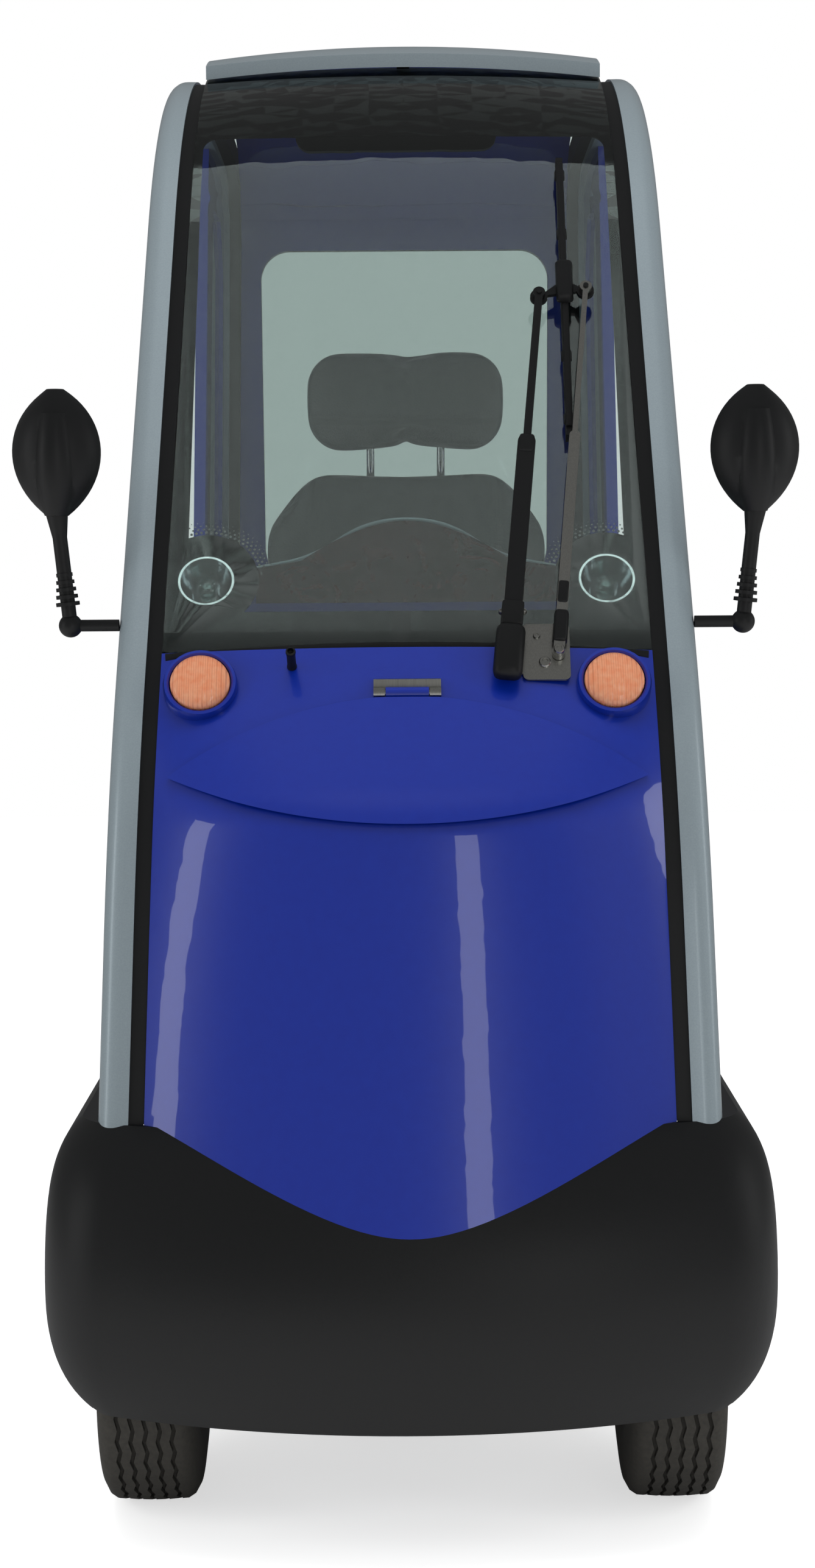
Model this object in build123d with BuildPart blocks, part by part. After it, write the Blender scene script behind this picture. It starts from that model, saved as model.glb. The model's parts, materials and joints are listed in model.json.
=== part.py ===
"""Enclosed mobility scooter: one seat under a hoop-framed roof, four wheels, tiller steering.

Millimetres. The origin is on the ground under the middle of the scooter. The scooter faces -Y, +X is
the right side as seen from the front, and +Z is up.
"""

from build123d import *
from math import asin, cos, hypot, radians, sin, sqrt, tan
import os

os.makedirs("parts", exist_ok=True)

# Overall size
LENGTH = 1700.0
FRONT_Y = -LENGTH / 2
REAR_Y = LENGTH / 2
PANEL_WALL = 4.0
FIT_GAP = 0.3
RUNNING_GAP = 0.05
FOOT_ALIGN = (Align.CENTER, Align.MIN, Align.MIN)

# Hoop line: the outer line of the silver side rails, seen from the side. It starts at the foot on the
# front bumper, and lean is the line's angle from upright, growing towards the rear
HOOP_FOOT_Y = -722.0
HOOP_FOOT_Z = 436.0
HOOP_FOOT_LEAN = 11.5
NOSE_RUN = 220.0
NOSE_RADIUS = 900.0
NOSE_TURN = 19.0
SCREEN_RUN = 597.0
BROW_RADIUS = 450.0
BROW_TURN = 57.5
ROOF_RADIUS = 6000.0
ROOF_TURN = 4.3
TAIL_RADIUS = 170.0
TAIL_TURN = 82.7
TAIL_RUN = 1020.0
SCREEN, BROW, ROOF, TAIL_BEND, TAIL = 2, 3, 4, 5, 6

# Each run of the hoop: its length, or an arc's radius, and its turn in degrees, 0 where it is straight
HOOP_RUNS = [
    (NOSE_RUN, 0.0),
    (NOSE_RADIUS, NOSE_TURN),
    (SCREEN_RUN, 0.0),
    (BROW_RADIUS, BROW_TURN),
    (ROOF_RADIUS, ROOF_TURN),
    (TAIL_RADIUS, TAIL_TURN),
    (TAIL_RUN, 0.0),
]

# Side rails and the rubber seals inside them. The hoops lean towards each other
HOOP_TILT = 1.35
RAIL_FOOT_X = 328.0
RAIL_WIDTH = 33.5
RAIL_DEPTH = 46.0
RAIL_ROUND = 22.0
SEAL_WIDTH = 16.5
SEAL_DEPTH = 32.0
SEAL_INSET = 3.0

# Wheels
TYRE_RADIUS = 165.0
TYRE_WIDTH = 106.0
RIM_RADIUS = 80.0
RIM_WALL = 5.0
RIM_WIDTH = 98.0
HUB_RADIUS = 26.0
VENTS = 8
VENT_PITCH = 54.0
VENT_RADIUS = 9.0
WHEEL_X = 285.0
FRONT_AXLE_Y = -545.0
REAR_AXLE_Y = 575.0
STUB_RADIUS = 9.0
REAR_SHAFT_RADIUS = 12.0
STUB_END_X = 324.0
ARCH_RADIUS = 207.0

# Tyre's outline: share of the half width, and depth under the tread
TYRE_SECTION = [(1.0, 58.0), (1.0, 24.0), (0.84, 8.0), (0.5, 1.5)]

# Steering
KINGPIN_X = 200.0
KINGPIN_RADIUS = 6.0
BOSS_RADIUS = 16.0
BOSS_HALF = 23.0
LUG_THICKNESS = 12.0
BOSS_GAP = 1.0
ARM_REACH = 90.0
ARM_THICKNESS = 10.0
TIE_ROD_RADIUS = 7.0

# Chassis
TUBE = 40.0
BRACKET_HOLE_Y = 30.0
BRACKET_HOLE_PITCH = 30.0
BRACKET_HOLE_RADIUS = 4.5
FRAME_X = 115.0
FRAME_BOTTOM_Z = 190.0
FRAME_TOP_Z = FRAME_BOTTOM_Z + TUBE
FRAME_FRONT_Y = -620.0
FRAME_REAR_Y = 660.0
BEAM = 36.0
CROSS_TUBES = (-300.0, 60.0, 340.0)
MOTOR_LENGTH = 200.0

# Front bumper: height, half width, middle Y, corner Y, corner radius
BUMPER_FORM = [
    (158.0, 346.0, -826.0, -742.0, 60.0),
    (205.0, 375.0, -842.0, -765.0, 85.0),
    (310.0, 384.0, FRONT_Y, -775.0, 95.0),
    (400.0, 378.0, -814.0, -748.0, 90.0),
    (455.0, 348.0, -766.0, -700.0, 60.0),
]
BUMPER_BACK_Y = -338.0
BUMPER_WALL = 5.0

# Nose: height, and how far its middle stands ahead of its sides
NOSE_LOW = [(330.0, 101.0), (450.0, 100.0), (600.0, 101.0), (760.0, 112.0)]
NOSE_HIGH = [(760.0, 112.0), (800.0, 100.0), (850.0, 60.0), (900.0, 28.0), (975.0, 4.0)]
NOSE_BACK_Y = -340.0
SEAM_S = 14.0

# Lid of the front locker, seen from the front
LID_HALF = 256.0
LID_END_Z = 812.0
LID_TOP_Z = 896.0
LID_LIP_Z = 773.0
LID_STEP_Z = 792.0
LID_RISE = 8.0
LID_WALL = 4.5
LID_GAP = 5.0
MOUTH_HALF = 215.0
MOUTH_TOP_Z = 872.0
MOUTH_BOTTOM_Z = 796.0
LOCKER_HALF = 222.0
LOCKER_DEPTH = 300.0
LOCKER_TOP_Z = 877.0
LOCKER_BOTTOM_Z = 764.0
LOCKER_WALL = 3.0
TUB_BACK_Y = -560.0
NOTCH_WIDTH = 42.0
NOTCH_BOTTOM_Z = 744.0
NOTCH_HEIGHT = 40.0
NOTCH_ROUND = 8.0
NOTCH_DEPTH = 170.0
HINGE_HALF = 36.0
HINGE_RADIUS = 3.0
HINGE_EYE = 6.0
HINGE_Z = LID_TOP_Z + 3.0

# Windscreen
GLASS_INSET = 4.0
GLASS = 5.0
GLASS_START_S = 17.0
GLASS_END = 0.76
MASK = 1.5
CLEAR_HALF_X = 242.0
CLEAR_LOW_S = 68.0
CLEAR_HIGH_S = 735.0
LAMP_X = 221.0
LAMP_S = 108.0
LAMP_RADIUS = 31.0
LOBE_RADIUS = 58.0
LAMP_DEPTH = 55.0
LAMP_WALL = 4.0
LAMP_TAPER = 18.0

# Dash, floor and rear body
DASH_HALF = 236.0
DASH_WALL = 5.0
DASH_TOP_Z = 990.0
DASH_LINE = [
    (-541.0, 934.0),
    (-430.0, DASH_TOP_Z),
    (-396.0, DASH_TOP_Z),
    (-392.0, 640.0),
    (-340.0, 400.0),
    (-340.0, FRAME_TOP_Z + 6.0),
]
COWL_WALL = 4.0
COWL_BACK_Y = -405.0
COWL_TOP_Z = 975.0
WOOD_HALF = 172.0
WOOD_THICKNESS = 12.0
WOOD_Y = -399.0
FLOOR_HALF = 345.0
FLOOR_BACK_Y = -20.0
FLOOR_WALL = 6.0
SILL_INNER_X = 296.0
SILL_BOTTOM_Z = 150.0
SILL_TOP_Z = 262.0
SILL_END_Y = 362.0
BOX_HALF = 235.0
BOX_TOP_Z = 435.0
TUB_HALF = 372.0
TUB_FRONT_Y = 372.0
TUB_REAR_Y = REAR_Y - 50.0
TUB_TOP_Z = 495.0
TUB_BOTTOM_Z = 250.0
TUB_CORNER = 30.0
BODY_WALL = 5.0
QUARTER_WALL = 16.0
QUARTER_FRONT_Y = 345.0
QUARTER_GLASS = 4.0

# Rear window and rear bumper: height, half width, middle Y, corner Y, corner radius
WINDOW_HALF = 223.0
WINDOW_TOP_Z = 1516.0
WINDOW_BOTTOM_Z = 1010.0
WINDOW_ROUND = 45.0
REAR_PANEL_WALL = 18.0
REAR_BUMPER_FORM = [
    (175.0, 345.0, REAR_Y - 24.0, REAR_Y - 90.0, 60.0),
    (230.0, 376.0, REAR_Y - 6.0, REAR_Y - 65.0, 80.0),
    (320.0, 388.0, REAR_Y, REAR_Y - 58.0, 85.0),
    (420.0, 382.0, REAR_Y - 8.0, REAR_Y - 64.0, 80.0),
    (485.0, 360.0, REAR_Y - 28.0, REAR_Y - 85.0, 60.0),
]
REAR_BUMPER_FRONT_Y = 690.0
TAIL_LAMP_X = 250.0
TAIL_LAMP_Z = 400.0
TAIL_LAMP_WIDTH = 90.0
TAIL_LAMP_HEIGHT = 40.0
TAIL_LAMP_RISE = 5.0

# Mirrors: inside, and on the front pillars
CABIN_MIRROR_Y = 12.0
CABIN_MIRROR_Z = 1595.0
CABIN_MIRROR_WIDTH = 257.0
CABIN_MIRROR_HEIGHT = 66.0
CABIN_MIRROR_DEPTH = 16.0
CEILING_Z = 1683.0
MIRROR_Y = -528.0
MIRROR_ARM_Z = 970.0
MIRROR_ELBOW_X = 369.0
MIRROR_HEAD_X = 381.0
MIRROR_NECK_Z = 1090.0
MIRROR_ARM_RADIUS = 6.5
MIRROR_ELBOW_RADIUS = 13.0
MIRROR_STALK_RADIUS = 8.0
BOOT_RIBS = 5
BOOT_START = 22.0
BOOT_PITCH = 8.0
BOOT_RADIUS = 13.0

# Mirror shell and the ridge on it: height, half width, depth of the bulge
MIRROR_SHELL = [
    (MIRROR_NECK_Z, 12.0, 14.0),
    (1118.0, 37.0, 24.0),
    (1156.0, 48.5, 30.0),
    (1196.0, 39.0, 26.0),
    (1227.0, 9.0, 12.0),
]
MIRROR_RIDGE = [
    (MIRROR_NECK_Z, 11.0, 20.0),
    (1128.0, 19.0, 34.0),
    (1168.0, 12.0, 37.0),
    (1200.0, 4.0, 30.0),
]

# Wiper on the screen plane: X and the distance up the screen from the foot of its straight run
WIPER_X = 109.0
WIPER_S = -9.0
WIPER_LENGTH = 480.0
WIPER_LEAN = 5.5
WIPER_PLATE_X = 150.0
WIPER_PLATE_S = 3.0
WIPER_PLATE_WIDTH = 51.0
WIPER_PLATE_HEIGHT = 68.0
LINK_X = 54.0
LINK_S = 8.0
WIPER_PLANE = 18.0
ARM_WIDTH = 9.0
ARM_LOW_WIDTH = 20.0
LINK_WIDTH = 6.0
LINK_LOW_WIDTH = 12.0
ARM_DEPTH = 8.0
ARM_LOW_DEPTH = 11.0
ARM_LOW_SHARE = 0.57
PIVOT_WALL = 4.0
PIVOT_RADIUS = 3.0
BLADE_X = 185.0
BLADE_LENGTH = 390.0
BLADE_ABOVE = 204.0
BLADE_WIDTH = 8.0
BLADE_GAP = 0.4

# Tiller
TILLER_FOOT_Y = -300.0
TILLER_FOOT_Z = 232.0
TILLER_LEAN = 5.0
TILLER_LENGTH = 700.0
TILLER_RADIUS = 19.0
HANDLE_HALF = 182.0
HANDLE_RADIUS = 11.0
GRIP_RADIUS = 15.0

# Seat
SEAT_PIVOT_Y = 100.0
SEAT_POST_RADIUS = 30.0
SEAT_FRAME_Z = 505.0
CUSHION_HALF = 230.0
CUSHION_FRONT_Y = -125.0
CUSHION_BACK_Y = 285.0
CUSHION_BOTTOM_Z = 535.0
CUSHION_TOP_Z = 635.0
BACK_HALF = 217.0
BACK_FRONT_Y = 292.0
BACK_REAR_Y = 372.0
BACK_BOTTOM_Z = 600.0
BACK_TOP_Z = 1177.0
BACK_ROUND = 45.0
BACK_SHOULDER = [(0.66, 0.0), (1.0, 92.0), (1.0, 400.0), (0.86, BACK_TOP_Z - BACK_BOTTOM_Z - 40.0)]
HEAD_HALF = 146.0
HEAD_BOTTOM_Z = 1190.0
HEAD_TOP_Z = 1333.0
ARMREST_X = 255.0
ARMREST_Z = 850.0
ARMREST_PIVOT_Y = 300.0
ARMREST_PIN = 8.0
BRACKET = 10.0
BRACKET_GAP = 3.0
BRACKET_FRONT = 10.0
STAY = 12.0
ARMREST_FRONT_Y = -60.0

# Roof: run of the hoop, share of it, and the rise over the hoop line in the middle and at the sides
ROOF_SKIN = 16.7
HEADER_STATIONS = [(BROW, 0.70, 38.0, 13.0), (BROW, 0.85, 41.0, 13.0), (BROW, 1.0, 42.0, 12.0)]
ROOF_STATIONS = [(BROW, 1.0, 42.0, 12.0), (ROOF, 0.5, 36.0, 8.0), (ROOF, 1.0, 30.0, 3.0), (TAIL_BEND, 0.3, 16.0, -3.0)]
TAIL_STATIONS = [(TAIL_BEND, 0.3, 16.0, -3.0), (TAIL_BEND, 0.5, 5.0, -3.0), (TAIL_BEND, 0.62, 1.0, -3.0)]

# Windscreen over the brow: share of the brow's run, and how far the glass is crowned in the middle
GLASS_CROWN = [(0.0, 0.2), (0.2, 3.0), (0.4, 9.0), (0.6, 16.0), (GLASS_END, 21.0)]


def hoop_station(index, share=0.0):
    """Y, Z and lean on the hoop line at a share of one of its runs."""
    y = HOOP_FOOT_Y
    z = HOOP_FOOT_Z
    lean = HOOP_FOOT_LEAN
    for number, (size, turn) in enumerate(HOOP_RUNS[:index + 1]):
        part = share if number == index else 1.0
        end = lean + part * turn
        if turn == 0.0:
            y += part * size * sin(radians(lean))
            z += part * size * cos(radians(lean))
        else:
            y += size * (cos(radians(lean)) - cos(radians(end)))
            z += size * (sin(radians(end)) - sin(radians(lean)))
        lean = end
    return y, z, lean


def trace(first, last, inset):
    """Draws the hoop line, moved inwards, from one (run, share) to another, and gives its ends."""
    y, z, lean = hoop_station(*first)
    point = Vector(y + inset * cos(radians(lean)), z - inset * sin(radians(lean)))
    start = point
    for number in range(first[0], last[0] + 1):
        size, turn = HOOP_RUNS[number]
        low = first[1] if number == first[0] else 0.0
        high = last[1] if number == last[0] else 1.0
        heading = Vector(sin(radians(lean)), cos(radians(lean)))
        if turn == 0.0:
            edge = Line(point, point + heading * (size * (high - low)))
        else:
            edge = JernArc(point, heading, size - inset, -turn * (high - low))
        lean += turn * (high - low)
        point = edge @ 1
    return start, point


def hoop_strip(plane, first, last, inset, depth):
    """Face between two copies of the hoop line, at inset and at inset + depth."""
    with BuildSketch(plane) as face:
        with BuildLine():
            outer_start, outer_end = trace(first, last, inset)
            inner_start, inner_end = trace(first, last, inset + depth)
            Line(outer_start, inner_start)
            Line(outer_end, inner_end)
        make_face()
    return face.sketch


def hoop_inside(plane, inset, corners):
    """Face inside the hoop line, limited to the polygon of corners in Y and Z."""
    with BuildSketch(plane) as face:
        with BuildLine():
            start, end = trace((0, 0.0), (TAIL, 1.0), inset)
            Line(end, start)
        make_face()
        with BuildLine():
            Polyline(*corners, close=True)
        make_face(mode=Mode.INTERSECT)
    return face.sketch


def side_plane(side, inwards):
    """Plane of the left (-1) or right (1) hoop, moved inwards from its outer face."""
    tilt = radians(HOOP_TILT)
    foot = side * (RAIL_FOOT_X + HOOP_FOOT_Z * tan(tilt))
    outer = Plane(origin=(foot, 0, 0), x_dir=(0, 1, 0), z_dir=(cos(tilt), 0, side * sin(tilt)))
    return outer.offset(-side * inwards)


def hoop_x(z, inwards):
    """Distance from the middle to the hoop's outer face at height z, less inwards."""
    tilt = radians(HOOP_TILT)
    return RAIL_FOOT_X - inwards / cos(tilt) - (z - HOOP_FOOT_Z) * tan(tilt)


def hoop_y(z):
    """Y of the hoop line's front at height z."""
    y, low_z, lean = hoop_station(1)
    if z <= low_z:
        return y - (low_z - z) * tan(radians(lean))
    top_y, top_z, top_lean = hoop_station(SCREEN)
    if z >= top_z:
        return top_y + (z - top_z) * tan(radians(top_lean))
    turned = sin(radians(lean)) + (z - low_z) / NOSE_RADIUS
    return y + NOSE_RADIUS * (cos(radians(lean)) - sqrt(1 - turned ** 2))


def bowed_face(z, half, side_y, middle_y, back_y):
    """Level face with a bowed front edge."""
    with BuildSketch(Plane.XY.offset(z)) as face:
        with BuildLine():
            ThreePointArc((-half, side_y), (0, middle_y), (half, side_y))
            Polyline((half, side_y), (half, back_y), (-half, back_y), (-half, side_y))
        make_face()
    return face.sketch.face()


def bumper_face(z, half, middle_y, corner_y, corner, back_y):
    """Level face of a bumper: a bowed front with round corners."""
    with BuildSketch(Plane.XY.offset(z)) as face:
        with BuildLine():
            ThreePointArc((-half, corner_y), (0, middle_y), (half, corner_y))
            Polyline((half, corner_y), (half, back_y), (-half, back_y), (-half, corner_y))
        make_face()
        along = Axis.Y if middle_y < back_y else -Axis.Y
        fillet(face.vertices().group_by(along)[0], corner)
    return face.sketch.face()


def crowned_face(station, half, skin):
    """Face across the roof at a hoop station: an arch with the skin's thickness."""
    index, share, crest, edge = station
    y, z, lean = hoop_station(index, share)
    out = Vector(0, -cos(radians(lean)), sin(radians(lean)))
    along = Vector(1, 0, 0).cross(out)
    with BuildSketch(Plane(origin=(0, y, z), x_dir=(1, 0, 0), z_dir=along)) as face:
        with BuildLine():
            ThreePointArc((-half, edge), (0, crest), (half, edge))
            Line((half, edge), (half, edge - skin))
            ThreePointArc((half, edge - skin), (0, crest - skin), (-half, edge - skin))
            Line((-half, edge - skin), (-half, edge))
        make_face()
    return face.sketch.face()


def screen_sheet(inset, thickness):
    """Sheet along the windscreen: flat up to the brow, then crowned up to the header."""
    flat = hoop_strip(Plane.YZ, (SCREEN, GLASS_START_S / SCREEN_RUN), (SCREEN, 1.0), inset, thickness)
    with BuildPart() as sheet:
        extrude(flat, amount=RAIL_FOOT_X, both=True)
        crowned = [(BROW, share, crown - inset, -inset) for share, crown in GLASS_CROWN]
        loft([crowned_face(station, RAIL_FOOT_X, thickness) for station in crowned])
        add(between_seals.part, mode=Mode.INTERSECT)
    return sheet.part


def nose_faces(table, inwards):
    """Level faces of the nose, from the seals' inner faces, moved in by a wall."""
    faces = []
    for z, bow in table:
        half = hoop_x(z, RAIL_WIDTH + SEAL_WIDTH) + SEAL_INSET
        side_y = hoop_y(z) + SEAL_INSET + inwards
        faces.append(bowed_face(z, half, side_y, side_y - bow, NOSE_BACK_Y))
    return faces


def bumper_faces(table, back_y, wall):
    """Level faces of a bumper, each moved in by the wall."""
    faces = []
    step = wall if back_y > table[0][2] else -wall
    for z, half, middle_y, corner_y, corner in table:
        faces.append(bumper_face(z, half - wall, middle_y + step, corner_y + step, corner - wall, back_y))
    return faces


def lens_face(plane, half, end_z, top_z, bottom_z):
    """Lens seen from the front: two arcs that meet at the ends."""
    with BuildSketch(plane) as face:
        with BuildLine():
            ThreePointArc((-half, end_z), (0, top_z), (half, end_z))
            ThreePointArc((half, end_z), (0, bottom_z), (-half, end_z))
        make_face()
    return face.sketch


SCREEN_Y, SCREEN_Z, SCREEN_LEAN = hoop_station(SCREEN)
SEAL_INNER = RAIL_WIDTH + SEAL_WIDTH
SCREEN_NORMAL = (0, -cos(radians(SCREEN_LEAN)), sin(radians(SCREEN_LEAN)))
screen_plane = Plane(origin=(0, SCREEN_Y, SCREEN_Z), x_dir=(1, 0, 0), z_dir=SCREEN_NORMAL)
front_view = Plane(origin=(0, -1000, 0), x_dir=(1, 0, 0), z_dir=(0, -1, 0))


# Forms that neighbours are trimmed to
with BuildPart() as bumper_form:
    loft(bumper_faces(BUMPER_FORM, BUMPER_BACK_Y, 0.0))

with BuildPart() as nose_form:
    loft(nose_faces(NOSE_LOW, 0.0))
    loft(nose_faces(NOSE_HIGH, 0.0))

with BuildPart() as between_seals:
    with BuildSketch(Plane.XY):
        Rectangle(2 * RAIL_FOOT_X, LENGTH + 400)
    extrude(amount=1900)
    split(bisect_by=side_plane(1, SEAL_INNER), keep=Keep.BOTTOM)
    split(bisect_by=side_plane(-1, SEAL_INNER), keep=Keep.TOP)


with BuildPart() as tub_form:
    with BuildSketch(Plane.XY.offset(TUB_BOTTOM_Z)):
        with Locations((0, (TUB_FRONT_Y + TUB_REAR_Y) / 2)):
            RectangleRounded(2 * TUB_HALF, TUB_REAR_Y - TUB_FRONT_Y, TUB_CORNER)
    extrude(amount=TUB_TOP_Z - TUB_BOTTOM_Z)

with BuildPart() as under_tub_top:
    with Locations((0, REAR_Y, TUB_TOP_Z)):
        Box(LENGTH, LENGTH / 2, TUB_TOP_Z, align=(Align.CENTER, Align.CENTER, Align.MAX))


# Side rails
with BuildPart() as side_rails:
    for side in (-1, 1):
        rail_face = hoop_strip(side_plane(side, 0.0), (0, 0.0), (TAIL, 1.0), 0.0, RAIL_DEPTH)
        extrude(rail_face, amount=-side * RAIL_WIDTH)
    broad_faces = side_rails.faces().sort_by(SortBy.AREA)[-4:]
    outer_faces = broad_faces.sort_by(lambda face: abs(face.center().X))[-2:]
    long_edges = [edge for face in outer_faces for edge in face.edges() if edge.length > 2 * RAIL_DEPTH]
    fillet(long_edges, RAIL_ROUND)
    add([bumper_form.part, under_tub_top.part], mode=Mode.SUBTRACT)
side_rails.part.label = "side_rails"
export_step(side_rails.part, "parts/side_rails.step")

# Rubber seals inside the rails
with BuildPart() as rail_seals:
    for side in (-1, 1):
        seal_plane = side_plane(side, RAIL_WIDTH)
        seal_face = hoop_strip(seal_plane, (0, 0.0), (TAIL, 1.0), SEAL_INSET, SEAL_DEPTH)
        extrude(seal_face, amount=-side * SEAL_WIDTH)
    add([bumper_form.part, under_tub_top.part], mode=Mode.SUBTRACT)
rail_seals.part.label = "rail_seals"
export_step(rail_seals.part, "parts/rail_seals.step")

# Front bumper: a shell open below, with round wheel arches and a gap for the nose
with BuildPart() as front_bumper:
    add(bumper_form.part)
    with BuildPart(mode=Mode.PRIVATE) as bumper_hollow:
        loft(bumper_faces(BUMPER_FORM, BUMPER_BACK_Y + 1, BUMPER_WALL))
    with Locations((0, 0, -BUMPER_WALL)):
        add(bumper_hollow.part, mode=Mode.SUBTRACT)
    with BuildSketch(Plane.YZ):
        with Locations((FRONT_AXLE_Y, TYRE_RADIUS)):
            Circle(ARCH_RADIUS)
            Rectangle(2 * ARCH_RADIUS + 2, TYRE_RADIUS, align=(Align.CENTER, Align.MAX))
    extrude(amount=500, both=True, mode=Mode.SUBTRACT)
    add(nose_form.part, mode=Mode.SUBTRACT)
front_bumper.part.label = "front_bumper"
export_step(front_bumper.part, "parts/front_bumper.step")

# Blue nose panel: a bowed sheet with the locker's mouth and its tub behind
with BuildPart() as front_panel:
    add(nose_form.part)
    with BuildPart(mode=Mode.PRIVATE) as nose_hollow:
        loft(nose_faces(NOSE_LOW, PANEL_WALL))
        loft(nose_faces(NOSE_HIGH, PANEL_WALL))
    add(nose_hollow.part, mode=Mode.SUBTRACT)
    add(between_seals.part, mode=Mode.INTERSECT)
    add(bumper_form.part, mode=Mode.SUBTRACT)
    split(bisect_by=Plane(screen_plane.from_local_coords((0, SEAM_S, 0)), z_dir=screen_plane.y_dir), keep=Keep.BOTTOM)
    extrude(lens_face(front_view, MOUTH_HALF, LID_END_Z, MOUTH_TOP_Z, MOUTH_BOTTOM_Z), amount=-460, mode=Mode.SUBTRACT)
    with BuildPart(mode=Mode.PRIVATE) as locker_tub:
        loft(nose_faces(NOSE_HIGH, PANEL_WALL / 2))
        locker_middle = (0, TUB_BACK_Y, (LOCKER_BOTTOM_Z + LOCKER_TOP_Z) / 2)
        locker_size = (2 * LOCKER_HALF, LOCKER_DEPTH, LOCKER_TOP_Z - LOCKER_BOTTOM_Z)
        to_back = (Align.CENTER, Align.MAX, Align.CENTER)
        with Locations(locker_middle):
            Box(*locker_size, align=to_back, mode=Mode.INTERSECT)
        with Locations((0, TUB_BACK_Y - LOCKER_WALL, locker_middle[2])):
            Box(*[size - 2 * LOCKER_WALL for size in locker_size], align=to_back, mode=Mode.SUBTRACT)
    add(locker_tub.part)
    with BuildSketch(front_view):
        with Locations((0, NOTCH_BOTTOM_Z)):
            RectangleRounded(NOTCH_WIDTH, NOTCH_HEIGHT, NOTCH_ROUND, align=(Align.CENTER, Align.MIN))
    extrude(amount=-NOTCH_DEPTH, mode=Mode.SUBTRACT)
front_panel.part.label = "front_panel"
export_step(front_panel.part, "parts/front_panel.step")

# Hinge of the locker's lid: a pin between two knuckles on a leaf
nose_top_y = hoop_y(LID_TOP_Z) + SEAL_INSET - 28.0
hinge_y = nose_top_y - LID_RISE
with BuildPart() as lid_hinge:
    with BuildSketch(Plane.YZ):
        with Locations((hinge_y, HINGE_Z)):
            Circle(HINGE_RADIUS)
    extrude(amount=HINGE_HALF, both=True)
    for side in (-1, 1):
        with BuildSketch(Plane.YZ.offset(side * (HINGE_HALF - 12))):
            with Locations((hinge_y, HINGE_Z)):
                Circle(HINGE_EYE)
            with Locations((hinge_y + 6, HINGE_Z + 2)):
                Rectangle(12, 8)
        extrude(amount=side * 12)
    with Locations((0, hinge_y + 14, HINGE_Z + 8)):
        Box(2 * HINGE_HALF, 14, 12)
    add(nose_form.part, mode=Mode.SUBTRACT)
lid_hinge.part.label = "lid_hinge"
export_step(lid_hinge.part, "parts/lid_hinge.step")

# Lid of the front locker, with a lip along its lower edge
with BuildPart() as front_lid:
    lid_low = [(LID_LIP_Z - 10, 112.0), (LID_STEP_Z, 110.0)]
    lid_high = [(LID_STEP_Z, 110.0), (850.0, 62.0), (LID_TOP_Z + 12, 28.0)]
    loft(nose_faces(lid_low, -LID_RISE))
    loft(nose_faces(lid_high, -LID_RISE))
    with BuildPart(mode=Mode.PRIVATE) as lid_hollow:
        loft(nose_faces(lid_low, LID_WALL - LID_RISE))
        loft(nose_faces(lid_high, LID_WALL - LID_RISE))
    add(lid_hollow.part, mode=Mode.SUBTRACT)
    extrude(lens_face(front_view, LID_HALF, LID_END_Z, LID_TOP_Z, LID_LIP_Z), amount=-460, mode=Mode.INTERSECT)
    with BuildSketch(Plane.YZ):
        with Locations((hinge_y, HINGE_Z)):
            Circle(HINGE_EYE + 2)
    extrude(amount=HINGE_HALF + 2, both=True, mode=Mode.SUBTRACT)
    with BuildSketch(Plane.YZ):
        with Locations((hinge_y, HINGE_Z)):
            Circle(HINGE_EYE)
        with Locations((hinge_y - 2, HINGE_Z - 8)):
            Rectangle(5, 12)
        with Locations((hinge_y, HINGE_Z)):
            Circle(HINGE_RADIUS + RUNNING_GAP, mode=Mode.SUBTRACT)
    extrude(amount=HINGE_HALF - 13, both=True)
    with Locations((0, -2 * FIT_GAP, 0)):
        add(nose_form.part, mode=Mode.SUBTRACT)
front_lid.part.label = "front_lid"
export_step(front_lid.part, "parts/front_lid.step")

# Windscreen
with BuildPart() as windscreen:
    add(screen_sheet(GLASS_INSET, GLASS))
windscreen.part.label = "windscreen"
export_step(windscreen.part, "parts/windscreen.step")

# Black printed border behind the glass, with lobes round the headlamps
with BuildPart() as screen_mask:
    add(screen_sheet(GLASS_INSET + GLASS, MASK))
    with BuildSketch(screen_plane.offset(-60)):
        with Locations((0, (CLEAR_LOW_S + CLEAR_HIGH_S) / 2)):
            RectangleRounded(2 * CLEAR_HALF_X, CLEAR_HIGH_S - CLEAR_LOW_S, 20)
        with Locations((LAMP_X, LAMP_S), (-LAMP_X, LAMP_S)):
            Circle(LOBE_RADIUS, mode=Mode.SUBTRACT)
            Circle(LAMP_RADIUS)
    extrude(amount=90, mode=Mode.SUBTRACT)
screen_mask.part.label = "screen_mask"
export_step(screen_mask.part, "parts/screen_mask.step")

# Headlamps behind the glass
with BuildPart() as headlamps:
    with BuildSketch(screen_plane.offset(-GLASS_INSET - GLASS - MASK)):
        with Locations((LAMP_X, LAMP_S), (-LAMP_X, LAMP_S)):
            Circle(LAMP_RADIUS + LAMP_WALL)
    extrude(amount=-LAMP_DEPTH, taper=LAMP_TAPER)
    with BuildSketch(screen_plane.offset(-GLASS_INSET - GLASS - MASK)):
        with Locations((LAMP_X, LAMP_S), (-LAMP_X, LAMP_S)):
            Circle(LAMP_RADIUS)
    extrude(amount=LAMP_WALL - LAMP_DEPTH, taper=LAMP_TAPER, mode=Mode.SUBTRACT)
headlamps.part.label = "headlamps"
export_step(headlamps.part, "parts/headlamps.step")

# Silver header over the windscreen
with BuildPart() as front_header:
    loft([crowned_face(station, RAIL_FOOT_X, ROOF_SKIN) for station in HEADER_STATIONS])
    add(between_seals.part, mode=Mode.INTERSECT)
front_header.part.label = "front_header"
export_step(front_header.part, "parts/front_header.step")

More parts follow.
